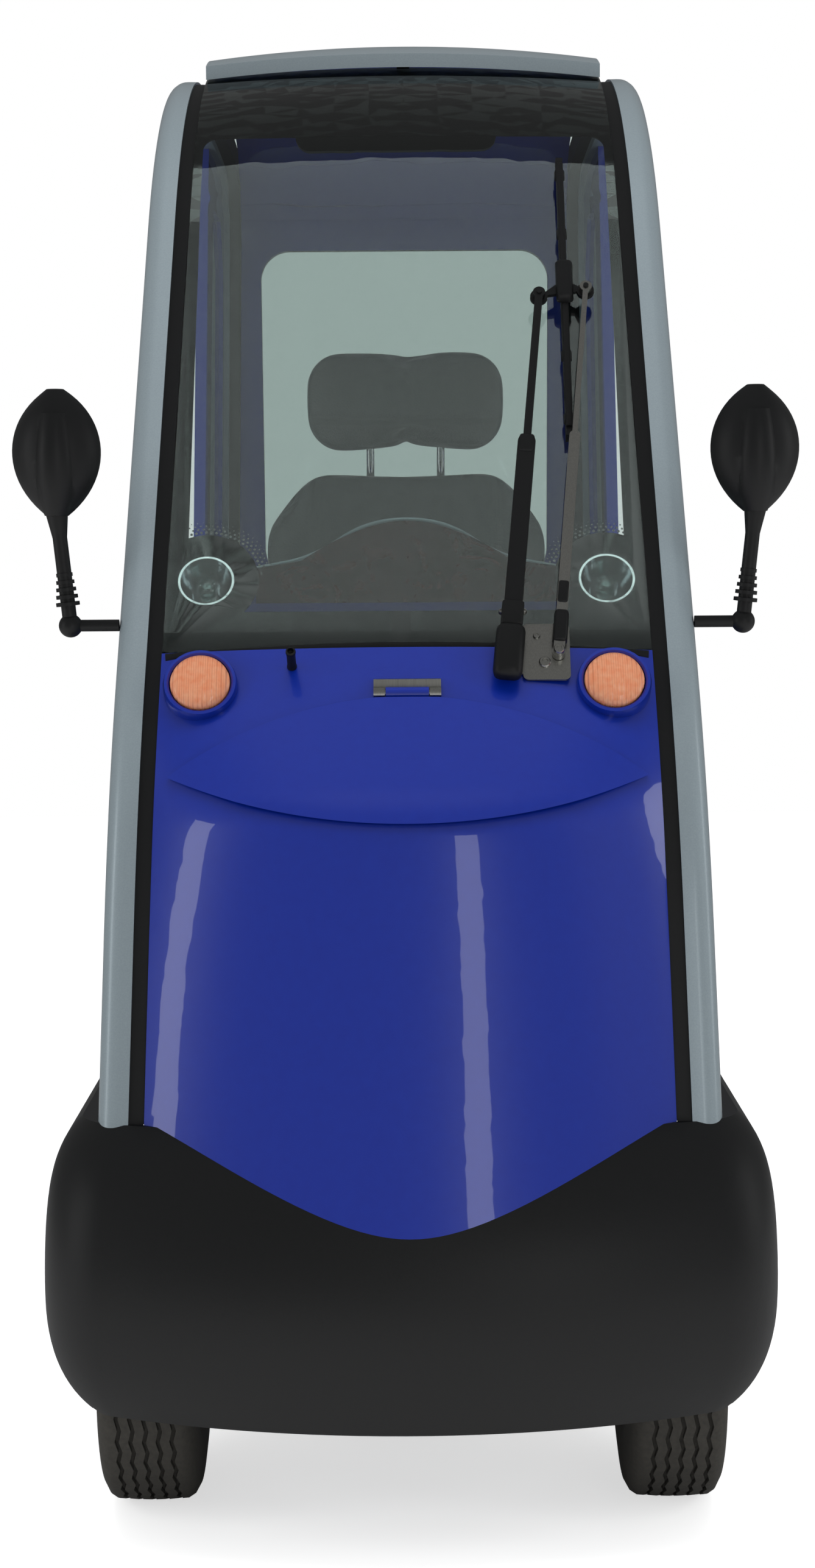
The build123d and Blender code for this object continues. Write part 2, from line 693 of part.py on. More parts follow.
# Blue roof
with BuildPart() as roof_panel:
    loft([crowned_face(station, RAIL_FOOT_X, ROOF_SKIN) for station in ROOF_STATIONS])
    add(between_seals.part, mode=Mode.INTERSECT)
roof_panel.part.label = "roof_panel"
export_step(roof_panel.part, "parts/roof_panel.step")

# Rear panel with the window cut
with BuildPart() as rear_panel:
    loft([crowned_face(station, RAIL_FOOT_X, REAR_PANEL_WALL) for station in TAIL_STATIONS])
    rear_strip = hoop_strip(Plane.YZ, (TAIL_BEND, 0.62), (TAIL, 1.0), SEAL_INSET, REAR_PANEL_WALL)
    extrude(rear_strip, amount=RAIL_FOOT_X, both=True)
    add(between_seals.part, mode=Mode.INTERSECT)
    add(tub_form.part, mode=Mode.SUBTRACT)
    with BuildSketch(front_view):
        with Locations((0, (WINDOW_TOP_Z + WINDOW_BOTTOM_Z) / 2)):
            RectangleRounded(2 * WINDOW_HALF, WINDOW_TOP_Z - WINDOW_BOTTOM_Z, WINDOW_ROUND)
    extrude(amount=-LENGTH - 400, mode=Mode.SUBTRACT)
rear_panel.part.label = "rear_panel"
export_step(rear_panel.part, "parts/rear_panel.step")

# Quarter panels behind the door openings
quarter_corners = [(QUARTER_FRONT_Y, TUB_TOP_Z), (QUARTER_FRONT_Y, 2000), (LENGTH, 2000), (LENGTH, TUB_TOP_Z)]
window_corners = [(440.0, 1010.0), (440.0, 1550.0), (590.0, 1550.0), (655.0, 1480.0), (695.0, 1010.0)]
with BuildPart() as quarter_panels:
    for side in (-1, 1):
        quarter_plane = side_plane(side, RAIL_WIDTH / 2 - QUARTER_WALL / 2)
        extrude(hoop_inside(quarter_plane, RAIL_DEPTH, quarter_corners), amount=-side * QUARTER_WALL)
        add(tub_form.part, mode=Mode.SUBTRACT)
        with BuildSketch(quarter_plane) as window_face:
            with BuildLine():
                Polyline(*window_corners, close=True)
            make_face()
            fillet(window_face.vertices(), 30)
        extrude(amount=-side * QUARTER_WALL, mode=Mode.SUBTRACT)
quarter_panels.part.label = "quarter_panels"
export_step(quarter_panels.part, "parts/quarter_panels.step")

# Glass of the rear and quarter windows
with BuildPart() as rear_windows:
    glass_strip = hoop_strip(Plane.YZ, (TAIL_BEND, 0.62), (TAIL, 1.0), SEAL_INSET + 6, QUARTER_GLASS)
    extrude(glass_strip, amount=RAIL_FOOT_X, both=True)
    with BuildSketch(front_view):
        with Locations((0, (WINDOW_TOP_Z + WINDOW_BOTTOM_Z) / 2)):
            RectangleRounded(2 * WINDOW_HALF, WINDOW_TOP_Z - WINDOW_BOTTOM_Z, WINDOW_ROUND)
    extrude(amount=-LENGTH - 400, mode=Mode.INTERSECT)
    for side in (-1, 1):
        pane_plane = side_plane(side, RAIL_WIDTH / 2 - QUARTER_GLASS / 2)
        with BuildSketch(pane_plane) as pane_face:
            with BuildLine():
                Polyline(*window_corners, close=True)
            make_face()
            fillet(pane_face.vertices(), 30)
        extrude(amount=-side * QUARTER_GLASS)
rear_windows.part.label = "rear_windows"
export_step(rear_windows.part, "parts/rear_windows.step")

# Cowl sides between the front pillars and the dash
cowl_corners = [(FRONT_Y, 455.0), (COWL_BACK_Y, 455.0), (COWL_BACK_Y, COWL_TOP_Z), (FRONT_Y, COWL_TOP_Z)]
with BuildPart() as cowl_sides:
    for side in (-1, 1):
        cowl_plane = side_plane(side, RAIL_WIDTH / 2)
        extrude(hoop_inside(cowl_plane, RAIL_DEPTH, cowl_corners), amount=-side * COWL_WALL)
    add(bumper_form.part, mode=Mode.SUBTRACT)
cowl_sides.part.label = "cowl_sides"
export_step(cowl_sides.part, "parts/cowl_sides.step")

# Dash and kick panel
with BuildPart() as dash_cowl:
    with BuildSketch(Plane.YZ):
        with BuildLine():
            Polyline(*DASH_LINE)
            offset(amount=DASH_WALL, side=Side.RIGHT)
        make_face()
    extrude(amount=DASH_HALF, both=True)
dash_cowl.part.label = "dash_cowl"
export_step(dash_cowl.part, "parts/dash_cowl.step")

# Burl wood panel on top of the dash
with BuildPart() as wood_dash:
    with BuildSketch(Plane.XZ.offset(-WOOD_Y)):
        with BuildLine():
            Polyline((-120, 1038), (-WOOD_HALF, 1030), (-WOOD_HALF, DASH_TOP_Z), (WOOD_HALF, DASH_TOP_Z))
            Polyline((WOOD_HALF, DASH_TOP_Z), (WOOD_HALF, 1030), (120, 1038))
            Spline((120, 1038), (60, 1070), (0, 1083), (-60, 1070), (-120, 1038))
        make_face()
    extrude(amount=WOOD_THICKNESS)
wood_dash.part.label = "wood_dash"
export_step(wood_dash.part, "parts/wood_dash.step")

# Floor pan with side sills
with BuildPart() as floor_pan:
    with BuildSketch(Plane.XY.offset(FRAME_TOP_Z)):
        with Locations((0, (DASH_LINE[-1][0] + FLOOR_BACK_Y) / 2)):
            Rectangle(2 * SILL_INNER_X, FLOOR_BACK_Y - DASH_LINE[-1][0])
    extrude(amount=FLOOR_WALL)
    for side in (-1, 1):
        with BuildSketch(Plane.XY.offset(SILL_BOTTOM_Z)):
            with Locations((side * (SILL_INNER_X + FLOOR_HALF) / 2, (BUMPER_BACK_Y + SILL_END_Y) / 2)):
                Rectangle(FLOOR_HALF - SILL_INNER_X, SILL_END_Y - BUMPER_BACK_Y - 1)
        extrude(amount=SILL_TOP_Z - SILL_BOTTOM_Z)
floor_pan.part.label = "floor_pan"
export_step(floor_pan.part, "parts/floor_pan.step")

# Rubber floor mat
with BuildPart() as floor_mat:
    with BuildSketch(Plane.XY.offset(FRAME_TOP_Z + FLOOR_WALL)):
        with Locations((0, (DASH_LINE[-1][0] + FLOOR_BACK_Y) / 2 + 4)):
            RectangleRounded(2 * SILL_INNER_X - 20, FLOOR_BACK_Y - DASH_LINE[-1][0] - 30, 20)
        with Locations((0, TILLER_FOOT_Y)):
            Circle(45, mode=Mode.SUBTRACT)
    extrude(amount=4)
floor_mat.part.label = "floor_mat"
export_step(floor_mat.part, "parts/floor_mat.step")

# Rear body: seat box and the tub over the rear wheels, both hollow and open below
with BuildPart() as rear_body:
    add(tub_form.part)
    with Locations((0, FLOOR_BACK_Y, FRAME_TOP_Z)):
        Box(2 * BOX_HALF, TUB_FRONT_Y + BODY_WALL - FLOOR_BACK_Y, BOX_TOP_Z - FRAME_TOP_Z, align=FOOT_ALIGN)
    with BuildSketch(Plane.XY.offset(TUB_BOTTOM_Z - 10)):
        with Locations((0, (TUB_FRONT_Y + TUB_REAR_Y) / 2)):
            tub_length = TUB_REAR_Y - TUB_FRONT_Y - 2 * BODY_WALL
            RectangleRounded(2 * (TUB_HALF - BODY_WALL), tub_length, TUB_CORNER - BODY_WALL)
    extrude(amount=TUB_TOP_Z - TUB_BOTTOM_Z + 10 - BODY_WALL, mode=Mode.SUBTRACT)
    with Locations((0, FLOOR_BACK_Y + BODY_WALL, FRAME_TOP_Z - 10)):
        box_length = TUB_FRONT_Y + 2 * BODY_WALL - FLOOR_BACK_Y
        box_height = BOX_TOP_Z - FRAME_TOP_Z + 10 - BODY_WALL
        Box(2 * (BOX_HALF - BODY_WALL), box_length, box_height, align=FOOT_ALIGN, mode=Mode.SUBTRACT)
    with BuildSketch(Plane.YZ):
        with Locations((REAR_AXLE_Y, TYRE_RADIUS)):
            Circle(ARCH_RADIUS)
    extrude(amount=500, both=True, mode=Mode.SUBTRACT)
rear_body.part.label = "rear_body"
export_step(rear_body.part, "parts/rear_body.step")

# Rear bumper
with BuildPart() as rear_bumper:
    loft(bumper_faces(REAR_BUMPER_FORM, REAR_BUMPER_FRONT_Y, 0.0))
    with BuildPart(mode=Mode.PRIVATE) as rear_hollow:
        loft(bumper_faces(REAR_BUMPER_FORM, REAR_BUMPER_FRONT_Y - 1, BUMPER_WALL))
    with Locations((0, 0, -BUMPER_WALL)):
        add(rear_hollow.part, mode=Mode.SUBTRACT)
    with BuildSketch(Plane.YZ):
        with Locations((REAR_AXLE_Y, TYRE_RADIUS)):
            Circle(ARCH_RADIUS)
    extrude(amount=500, both=True, mode=Mode.SUBTRACT)
    add([tub_form.part, rail_seals.part, side_rails.part, rear_panel.part], mode=Mode.SUBTRACT)
rear_bumper.part.label = "rear_bumper"
export_step(rear_bumper.part, "parts/rear_bumper.step")

# Tail lamps on the rear bumper's corners
with BuildPart() as tail_lamps:
    for side in (-1, 1):
        with BuildSketch(Plane.XZ.offset(-800)):
            with Locations((side * TAIL_LAMP_X, TAIL_LAMP_Z)):
                RectangleRounded(TAIL_LAMP_WIDTH, TAIL_LAMP_HEIGHT, 8)
        extrude(amount=-100)
    with BuildPart(mode=Mode.PRIVATE) as lamp_form:
        loft(bumper_faces(REAR_BUMPER_FORM, REAR_BUMPER_FRONT_Y - 5, -TAIL_LAMP_RISE))
    add(lamp_form.part, mode=Mode.INTERSECT)
    with BuildPart(mode=Mode.PRIVATE) as lamp_seat:
        loft(bumper_faces(REAR_BUMPER_FORM, REAR_BUMPER_FRONT_Y, 0.0))
    add(lamp_seat.part, mode=Mode.SUBTRACT)
tail_lamps.part.label = "tail_lamps"
export_step(tail_lamps.part, "parts/tail_lamps.step")

# Chassis: two long tubes and three cross tubes
with BuildPart() as chassis_frame:
    for side in (-1, 1):
        with BuildSketch(Plane.XZ.offset(-FRAME_FRONT_Y)):
            with Locations((side * FRAME_X, FRAME_BOTTOM_Z + TUBE / 2)):
                Rectangle(TUBE, TUBE)
                Rectangle(TUBE - 6, TUBE - 6, mode=Mode.SUBTRACT)
        extrude(amount=-(FRAME_REAR_Y - FRAME_FRONT_Y))
    for cross_y in CROSS_TUBES:
        with BuildSketch(Plane.YZ):
            with Locations((cross_y, FRAME_BOTTOM_Z + TUBE / 2)):
                Rectangle(TUBE - 8, TUBE - 8)
        extrude(amount=SILL_INNER_X, both=True)
    with BuildSketch(Plane.XY.offset(FRAME_BOTTOM_Z)):
        with Locations((0, FRAME_FRONT_Y + BRACKET_HOLE_Y)):
            with GridLocations(2 * FRAME_X, BRACKET_HOLE_PITCH, 2, 2):
                Circle(BRACKET_HOLE_RADIUS)
    extrude(amount=TUBE, mode=Mode.SUBTRACT)
chassis_frame.part.label = "chassis_frame"
export_step(chassis_frame.part, "parts/chassis_frame.step")

# Front axle beam with fork lugs and kingpins
LUG_INNER = BOSS_HALF + BOSS_GAP
LUG_OUTER = LUG_INNER + LUG_THICKNESS
with BuildPart() as front_axle:
    with BuildSketch(Plane.YZ):
        with Locations((FRONT_AXLE_Y, TYRE_RADIUS)):
            Rectangle(BEAM, BEAM)
    extrude(amount=KINGPIN_X - BOSS_RADIUS - 6, both=True)
    with Locations((FRAME_X, FRONT_AXLE_Y, FRAME_BOTTOM_Z), (-FRAME_X, FRONT_AXLE_Y, FRAME_BOTTOM_Z)):
        Box(TUBE, BEAM, FRAME_BOTTOM_Z - TYRE_RADIUS, align=(Align.CENTER, Align.CENTER, Align.MAX))
    for side in (-1, 1):
        with Locations((side * (KINGPIN_X - BOSS_RADIUS - 12), FRONT_AXLE_Y, TYRE_RADIUS)):
            Box(12, BEAM, 2 * LUG_OUTER)
        for level in (-LUG_OUTER, LUG_INNER):
            with BuildSketch(Plane.XY.offset(TYRE_RADIUS + level)):
                with Locations((side * KINGPIN_X, FRONT_AXLE_Y)):
                    Circle(BOSS_RADIUS)
                with Locations((side * (KINGPIN_X - BOSS_RADIUS / 2 - 3), FRONT_AXLE_Y)):
                    Rectangle(BOSS_RADIUS + 6, 2 * BOSS_RADIUS)
            extrude(amount=LUG_THICKNESS)
        with Locations((side * KINGPIN_X, FRONT_AXLE_Y, TYRE_RADIUS)):
            Cylinder(KINGPIN_RADIUS, 2 * LUG_OUTER + 8)
front_axle.part.label = "front_axle"
export_step(front_axle.part, "parts/front_axle.step")

# Knuckles with stub axles and steering arms
for side, hand in ((-1, "left"), (1, "right")):
    with BuildPart() as knuckle:
        with Locations((side * KINGPIN_X, FRONT_AXLE_Y, TYRE_RADIUS)):
            Cylinder(BOSS_RADIUS, 2 * BOSS_HALF)
        with BuildSketch(Plane.YZ.offset(side * KINGPIN_X)):
            with Locations((FRONT_AXLE_Y, TYRE_RADIUS)):
                Circle(STUB_RADIUS)
        extrude(amount=side * (STUB_END_X - KINGPIN_X))
        with BuildSketch(Plane.XY.offset(TYRE_RADIUS - BOSS_HALF)):
            with Locations((side * KINGPIN_X, FRONT_AXLE_Y + ARM_REACH / 2)):
                Rectangle(2 * 8, ARM_REACH)
            with Locations((side * KINGPIN_X, FRONT_AXLE_Y + ARM_REACH)):
                Circle(11)
        extrude(amount=ARM_THICKNESS)
        with Locations((side * KINGPIN_X, FRONT_AXLE_Y, TYRE_RADIUS)):
            Cylinder(KINGPIN_RADIUS + RUNNING_GAP, 4 * BOSS_HALF, mode=Mode.SUBTRACT)
        with Locations((side * KINGPIN_X, FRONT_AXLE_Y + ARM_REACH, TYRE_RADIUS - BOSS_HALF - 9)):
            Cylinder(4, 9 + ARM_THICKNESS, align=(Align.CENTER, Align.CENTER, Align.MIN))
    knuckle.part.label = f"knuckle_{hand}"
    export_step(knuckle.part, f"parts/knuckle_{hand}.step")

# Tie rod between the steering arms
TIE_Z = TYRE_RADIUS - BOSS_HALF - 5
with BuildPart() as tie_rod:
    with BuildSketch(Plane.YZ):
        with Locations((FRONT_AXLE_Y + ARM_REACH, TIE_Z)):
            Circle(3.5)
    extrude(amount=KINGPIN_X - 8, both=True)
    with Locations((-KINGPIN_X, FRONT_AXLE_Y + ARM_REACH, TIE_Z), (KINGPIN_X, FRONT_AXLE_Y + ARM_REACH, TIE_Z)):
        Cylinder(10, 9)
    with Locations((-KINGPIN_X, FRONT_AXLE_Y + ARM_REACH, TIE_Z), (KINGPIN_X, FRONT_AXLE_Y + ARM_REACH, TIE_Z)):
        Cylinder(4 + RUNNING_GAP, 20, mode=Mode.SUBTRACT)
tie_rod.part.label = "tie_rod"
export_step(tie_rod.part, "parts/tie_rod.step")

# Wheels: a tyre and a dished rim each
WHEELS = [
    ("front_left", -1, FRONT_AXLE_Y, STUB_RADIUS),
    ("front_right", 1, FRONT_AXLE_Y, STUB_RADIUS),
    ("rear_left", -1, REAR_AXLE_Y, REAR_SHAFT_RADIUS),
    ("rear_right", 1, REAR_AXLE_Y, REAR_SHAFT_RADIUS),
]
for place, side, axle_y, shaft_radius in WHEELS:
    wheel_plane = Plane(origin=(side * WHEEL_X, axle_y, TYRE_RADIUS), x_dir=(0, 1, 0), z_dir=(1, 0, 0))
    with BuildPart() as tyre:
        with BuildSketch(Plane(origin=wheel_plane.origin, x_dir=(1, 0, 0), z_dir=(0, -1, 0))):
            with BuildLine():
                half = TYRE_WIDTH / 2
                left = [(-half * share, TYRE_RADIUS - depth) for share, depth in TYRE_SECTION]
                right = [(-x, height) for x, height in reversed(left)]
                Polyline((-RIM_WIDTH / 2, RIM_RADIUS), *left, (0, TYRE_RADIUS), *right, (RIM_WIDTH / 2, RIM_RADIUS), close=True)
            make_face()
        revolve(axis=Axis(wheel_plane.origin, (1, 0, 0)))
    tyre.part.label = f"tyre_{place}"
    export_step(tyre.part, f"parts/tyre_{place}.step")
    with BuildPart() as rim:
        with BuildSketch(wheel_plane):
            Circle(RIM_RADIUS)
        extrude(amount=RIM_WIDTH / 2, both=True)
        with BuildSketch(wheel_plane.offset(side * 12)):
            Circle(RIM_RADIUS - RIM_WALL)
        extrude(amount=side * RIM_WIDTH, mode=Mode.SUBTRACT)
        with BuildSketch(wheel_plane.offset(side * 2)):
            Circle(RIM_RADIUS - RIM_WALL)
        extrude(amount=-side * RIM_WIDTH, mode=Mode.SUBTRACT)
        with BuildSketch(wheel_plane):
            with PolarLocations(VENT_PITCH, VENTS):
                Circle(VENT_RADIUS)
        extrude(amount=RIM_WIDTH, both=True, mode=Mode.SUBTRACT)
        with BuildSketch(wheel_plane):
            Circle(HUB_RADIUS)
        extrude(amount=RIM_WIDTH / 2 - 14, both=True)
        with BuildSketch(wheel_plane):
            Circle(shaft_radius + RUNNING_GAP)
        extrude(amount=RIM_WIDTH, both=True, mode=Mode.SUBTRACT)
    rim.part.label = f"rim_{place}"
    export_step(rim.part, f"parts/rim_{place}.step")

# Drive unit: gearbox, axle tubes, shafts and motor
with BuildPart() as drive_unit:
    with Locations((0, REAR_AXLE_Y, TYRE_RADIUS)):
        Sphere(62)
    with BuildSketch(Plane.YZ):
        with Locations((REAR_AXLE_Y, TYRE_RADIUS)):
            Circle(24)
    extrude(amount=WHEEL_X - TYRE_WIDTH / 2 - 8, both=True)
    with BuildSketch(Plane.YZ):
        with Locations((REAR_AXLE_Y, TYRE_RADIUS)):
            Circle(REAR_SHAFT_RADIUS)
    extrude(amount=STUB_END_X, both=True)
    with BuildSketch(Plane.XZ.offset(-REAR_AXLE_Y)):
        with Locations((0, TYRE_RADIUS)):
            Circle(52)
    extrude(amount=MOTOR_LENGTH)
    with Locations((FRAME_X, REAR_AXLE_Y, FRAME_BOTTOM_Z), (-FRAME_X, REAR_AXLE_Y, FRAME_BOTTOM_Z)):
        Box(TUBE, TUBE, FRAME_BOTTOM_Z - TYRE_RADIUS, align=(Align.CENTER, Align.CENTER, Align.MAX))
drive_unit.part.label = "drive_unit"
export_step(drive_unit.part, "parts/drive_unit.step")

# Batteries on the chassis tubes
with BuildPart() as batteries:
    with Locations((-125, 190, FRAME_TOP_Z), (125, 190, FRAME_TOP_Z)):
        Box(165, 200, 170, align=(Align.CENTER, Align.CENTER, Align.MIN))
batteries.part.label = "batteries"
export_step(batteries.part, "parts/batteries.step")

# Tiller: leaning column with a handlebar
tiller_plane = Plane(
    origin=(0, TILLER_FOOT_Y, TILLER_FOOT_Z),
    x_dir=(1, 0, 0),
    z_dir=(0, sin(radians(TILLER_LEAN)), cos(radians(TILLER_LEAN))),
)
with BuildPart() as tiller_base:
    with BuildSketch(tiller_plane):
        Circle(TILLER_RADIUS + 16)
        Circle(TILLER_RADIUS + RUNNING_GAP, mode=Mode.SUBTRACT)
    extrude(amount=44)
    split(bisect_by=Plane.XY.offset(FRAME_TOP_Z + FLOOR_WALL), keep=Keep.TOP)
tiller_base.part.label = "tiller_base"
export_step(tiller_base.part, "parts/tiller_base.step")

with BuildPart() as tiller_column:
    with BuildSketch(tiller_plane.offset(6.1)):
        Circle(TILLER_RADIUS)
    extrude(amount=TILLER_LENGTH)
tiller_column.part.label = "tiller_column"
export_step(tiller_column.part, "parts/tiller_column.step")

with BuildPart() as handlebar:
    bar_plane = tiller_plane.offset(TILLER_LENGTH + 8)
    with BuildSketch(bar_plane):
        RectangleRounded(120, 70, 14)
    extrude(amount=26)
    with BuildSketch(Plane(bar_plane.from_local_coords((0, 0, 13)), x_dir=(0, 1, 0), z_dir=(1, 0, 0))):
        Circle(HANDLE_RADIUS)
    extrude(amount=HANDLE_HALF, both=True)
handlebar.part.label = "handlebar"
export_step(handlebar.part, "parts/handlebar.step")

# Wiper: two arms that stay parallel and keep the blade upright
wiper_plane = screen_plane.offset(WIPER_PLANE)
arm_x = WIPER_LENGTH * sin(radians(WIPER_LEAN))
arm_s = WIPER_LENGTH * cos(radians(WIPER_LEAN))
arm_top = (WIPER_X + arm_x, WIPER_S + arm_s)
link_foot = (WIPER_X + LINK_X, WIPER_S + LINK_S)
link_top = (link_foot[0] + arm_x, link_foot[1] + arm_s)
with BuildPart() as wiper_base:
    with BuildSketch(screen_plane.offset(WIPER_PLANE - 4)):
        with BuildLine():
            Polyline((WIPER_X, WIPER_S - 12), (WIPER_X + 40, WIPER_S - 20), link_foot, (WIPER_X, WIPER_S + 12), close=True)
        make_face()
        with Locations((WIPER_PLATE_X, WIPER_PLATE_S)):
            RectangleRounded(WIPER_PLATE_WIDTH, WIPER_PLATE_HEIGHT, 6)
        with Locations(link_foot, (WIPER_X, WIPER_S)):
            Circle(12)
    extrude(amount=3)
    with BuildSketch(screen_plane.offset(WIPER_PLANE - 40)):
        with Locations((WIPER_X, WIPER_S)):
            Circle(12)
    extrude(amount=36)
    with BuildSketch(screen_plane.offset(WIPER_PLANE - 4)):
        with Locations((WIPER_X, WIPER_S), link_foot):
            Circle(PIVOT_RADIUS)
    extrude(amount=14)
    add(nose_form.part, mode=Mode.SUBTRACT)
wiper_base.part.label = "wiper_base"
export_step(wiper_base.part, "parts/wiper_base.step")


rod_feet = (
    ("wiper_arm", (WIPER_X, WIPER_S), ARM_LOW_WIDTH, ARM_WIDTH),
    ("wiper_link", link_foot, LINK_LOW_WIDTH, LINK_WIDTH),
)
for name, foot, low_width, width in rod_feet:
    with BuildPart() as rod:
        middle = (foot[0] + arm_x / 2, foot[1] + arm_s / 2)
        low_middle = (foot[0] + ARM_LOW_SHARE * arm_x / 2, foot[1] + ARM_LOW_SHARE * arm_s / 2)
        top = (foot[0] + arm_x, foot[1] + arm_s)
        with BuildSketch(wiper_plane):
            with Locations(middle):
                SlotCenterToCenter(WIPER_LENGTH, width, rotation=90 - WIPER_LEAN)
            with Locations(foot, top):
                Circle(PIVOT_RADIUS + PIVOT_WALL)
        extrude(amount=ARM_DEPTH)
        with BuildSketch(wiper_plane):
            with Locations(low_middle):
                SlotCenterToCenter(ARM_LOW_SHARE * WIPER_LENGTH, low_width, rotation=90 - WIPER_LEAN)
        extrude(amount=ARM_LOW_DEPTH)
        with BuildSketch(wiper_plane):
            with Locations(foot, top):
                Circle(PIVOT_RADIUS + RUNNING_GAP)
        extrude(amount=ARM_LOW_DEPTH, mode=Mode.SUBTRACT)
    rod.part.label = name
    export_step(rod.part, f"parts/{name}.step")

with BuildPart() as wiper_blade:
    with BuildSketch(screen_plane.offset(WIPER_PLANE - 6)):
        with BuildLine():
            Polyline(arm_top, link_top, (BLADE_X, arm_top[1] + 24), close=True)
        make_face()
        with Locations(arm_top, link_top):
            Circle(10)
    extrude(amount=5)
    with BuildSketch(screen_plane.offset(WIPER_PLANE - 6)):
        with Locations(arm_top, link_top):
            Circle(PIVOT_RADIUS)
    extrude(amount=16)
    with BuildSketch(screen_plane.offset(-GLASS_INSET + BLADE_GAP)):
        with Locations((BLADE_X, arm_top[1] + BLADE_ABOVE - BLADE_LENGTH / 2)):
            Rectangle(BLADE_WIDTH, BLADE_LENGTH)
    extrude(amount=WIPER_PLANE - 6 + GLASS_INSET - BLADE_GAP)
wiper_blade.part.label = "wiper_blade"
export_step(wiper_blade.part, "parts/wiper_blade.step")

# Turn lamps, hinge and peg on the nose
with BuildPart() as turn_lamps:
    for side in (-1, 1):
        with BuildSketch(screen_plane.offset(-6)):
            with Locations((side * 221, -32)):
                Circle(32)
        extrude(amount=26)
    add(nose_form.part, mode=Mode.SUBTRACT)
turn_lamps.part.label = "turn_lamps"
export_step(turn_lamps.part, "parts/turn_lamps.step")

# Mirrors on the front pillars: an arm, a ribbed boot and a leaf-shaped shell with a ridge
def mirror_faces(side, table):
    """Level faces of a mirror's shell: flat behind and bulging forwards."""
    faces = []
    for z, half, depth in table:
        with BuildSketch(Plane.XY.offset(z)) as face:
            with BuildLine():
                middle = side * MIRROR_HEAD_X
                ThreePointArc((middle - half, MIRROR_Y), (middle, MIRROR_Y - depth), (middle + half, MIRROR_Y))
                Line((middle + half, MIRROR_Y), (middle - half, MIRROR_Y))
            make_face()
        faces.append(face.sketch.face())
    return faces


with BuildPart() as side_mirrors:
    for side in (-1, 1):
        with BuildSketch(Plane.YZ.offset(side * (hoop_x(MIRROR_ARM_Z, 0) + FIT_GAP))):
            with Locations((MIRROR_Y, MIRROR_ARM_Z)):
                Circle(MIRROR_ARM_RADIUS)
        extrude(amount=side * (MIRROR_ELBOW_X - hoop_x(MIRROR_ARM_Z, 0)))
        with Locations((side * MIRROR_ELBOW_X, MIRROR_Y, MIRROR_ARM_Z)):
            Sphere(MIRROR_ELBOW_RADIUS)
        foot = Vector(side * MIRROR_ELBOW_X, MIRROR_Y, MIRROR_ARM_Z)
        neck = Vector(side * MIRROR_HEAD_X, MIRROR_Y - 4, MIRROR_NECK_Z)
        stalk_plane = Plane(origin=foot, x_dir=(0, 1, 0), z_dir=neck - foot)
        stalk_length = (neck - foot).length
        with BuildSketch(stalk_plane):
            Circle(MIRROR_STALK_RADIUS)
        extrude(amount=stalk_length + 4)
        for rib in range(BOOT_RIBS):
            with BuildSketch(stalk_plane.offset(BOOT_START + rib * BOOT_PITCH)):
                Circle(BOOT_RADIUS - rib)
            extrude(amount=BOOT_PITCH / 2)
        with BuildSketch(stalk_plane.offset(stalk_length - 24)):
            Circle(MIRROR_STALK_RADIUS)
        extrude(amount=30, taper=-9)
        loft(mirror_faces(side, MIRROR_SHELL))
        loft(mirror_faces(side, MIRROR_RIDGE))
side_mirrors.part.label = "side_mirrors"
export_step(side_mirrors.part, "parts/side_mirrors.step")

# Mirror inside the cabin
with BuildPart() as cabin_mirror:
    with BuildSketch(Plane.XZ.offset(-CABIN_MIRROR_Y - CABIN_MIRROR_DEPTH / 2)):
        with Locations((-10, CABIN_MIRROR_Z)):
            RectangleRounded(CABIN_MIRROR_WIDTH, CABIN_MIRROR_HEIGHT, 18)
    extrude(amount=CABIN_MIRROR_DEPTH)
    with Locations((0, CABIN_MIRROR_Y, CABIN_MIRROR_Z)):
        Box(16, 10, 100, align=(Align.CENTER, Align.CENTER, Align.MIN))
    add([front_header.part, roof_panel.part], mode=Mode.SUBTRACT)
    split(bisect_by=Plane.XY.offset(CEILING_Z), keep=Keep.BOTTOM)
cabin_mirror.part.label = "cabin_mirror"
export_step(cabin_mirror.part, "parts/cabin_mirror.step")

# Seat: post on the root, then the turning frame, cushion, back, headrest and armrests
with BuildPart() as seat_post:
    with BuildSketch(Plane.XY.offset(BOX_TOP_Z)):
        with Locations((0, SEAT_PIVOT_Y)):
            Circle(SEAT_POST_RADIUS + 25)
    extrude(amount=8)
    with BuildSketch(Plane.XY.offset(BOX_TOP_Z)):
        with Locations((0, SEAT_PIVOT_Y)):
            Circle(SEAT_POST_RADIUS)
    extrude(amount=SEAT_FRAME_Z + 20 - BOX_TOP_Z)
seat_post.part.label = "seat_post"
export_step(seat_post.part, "parts/seat_post.step")

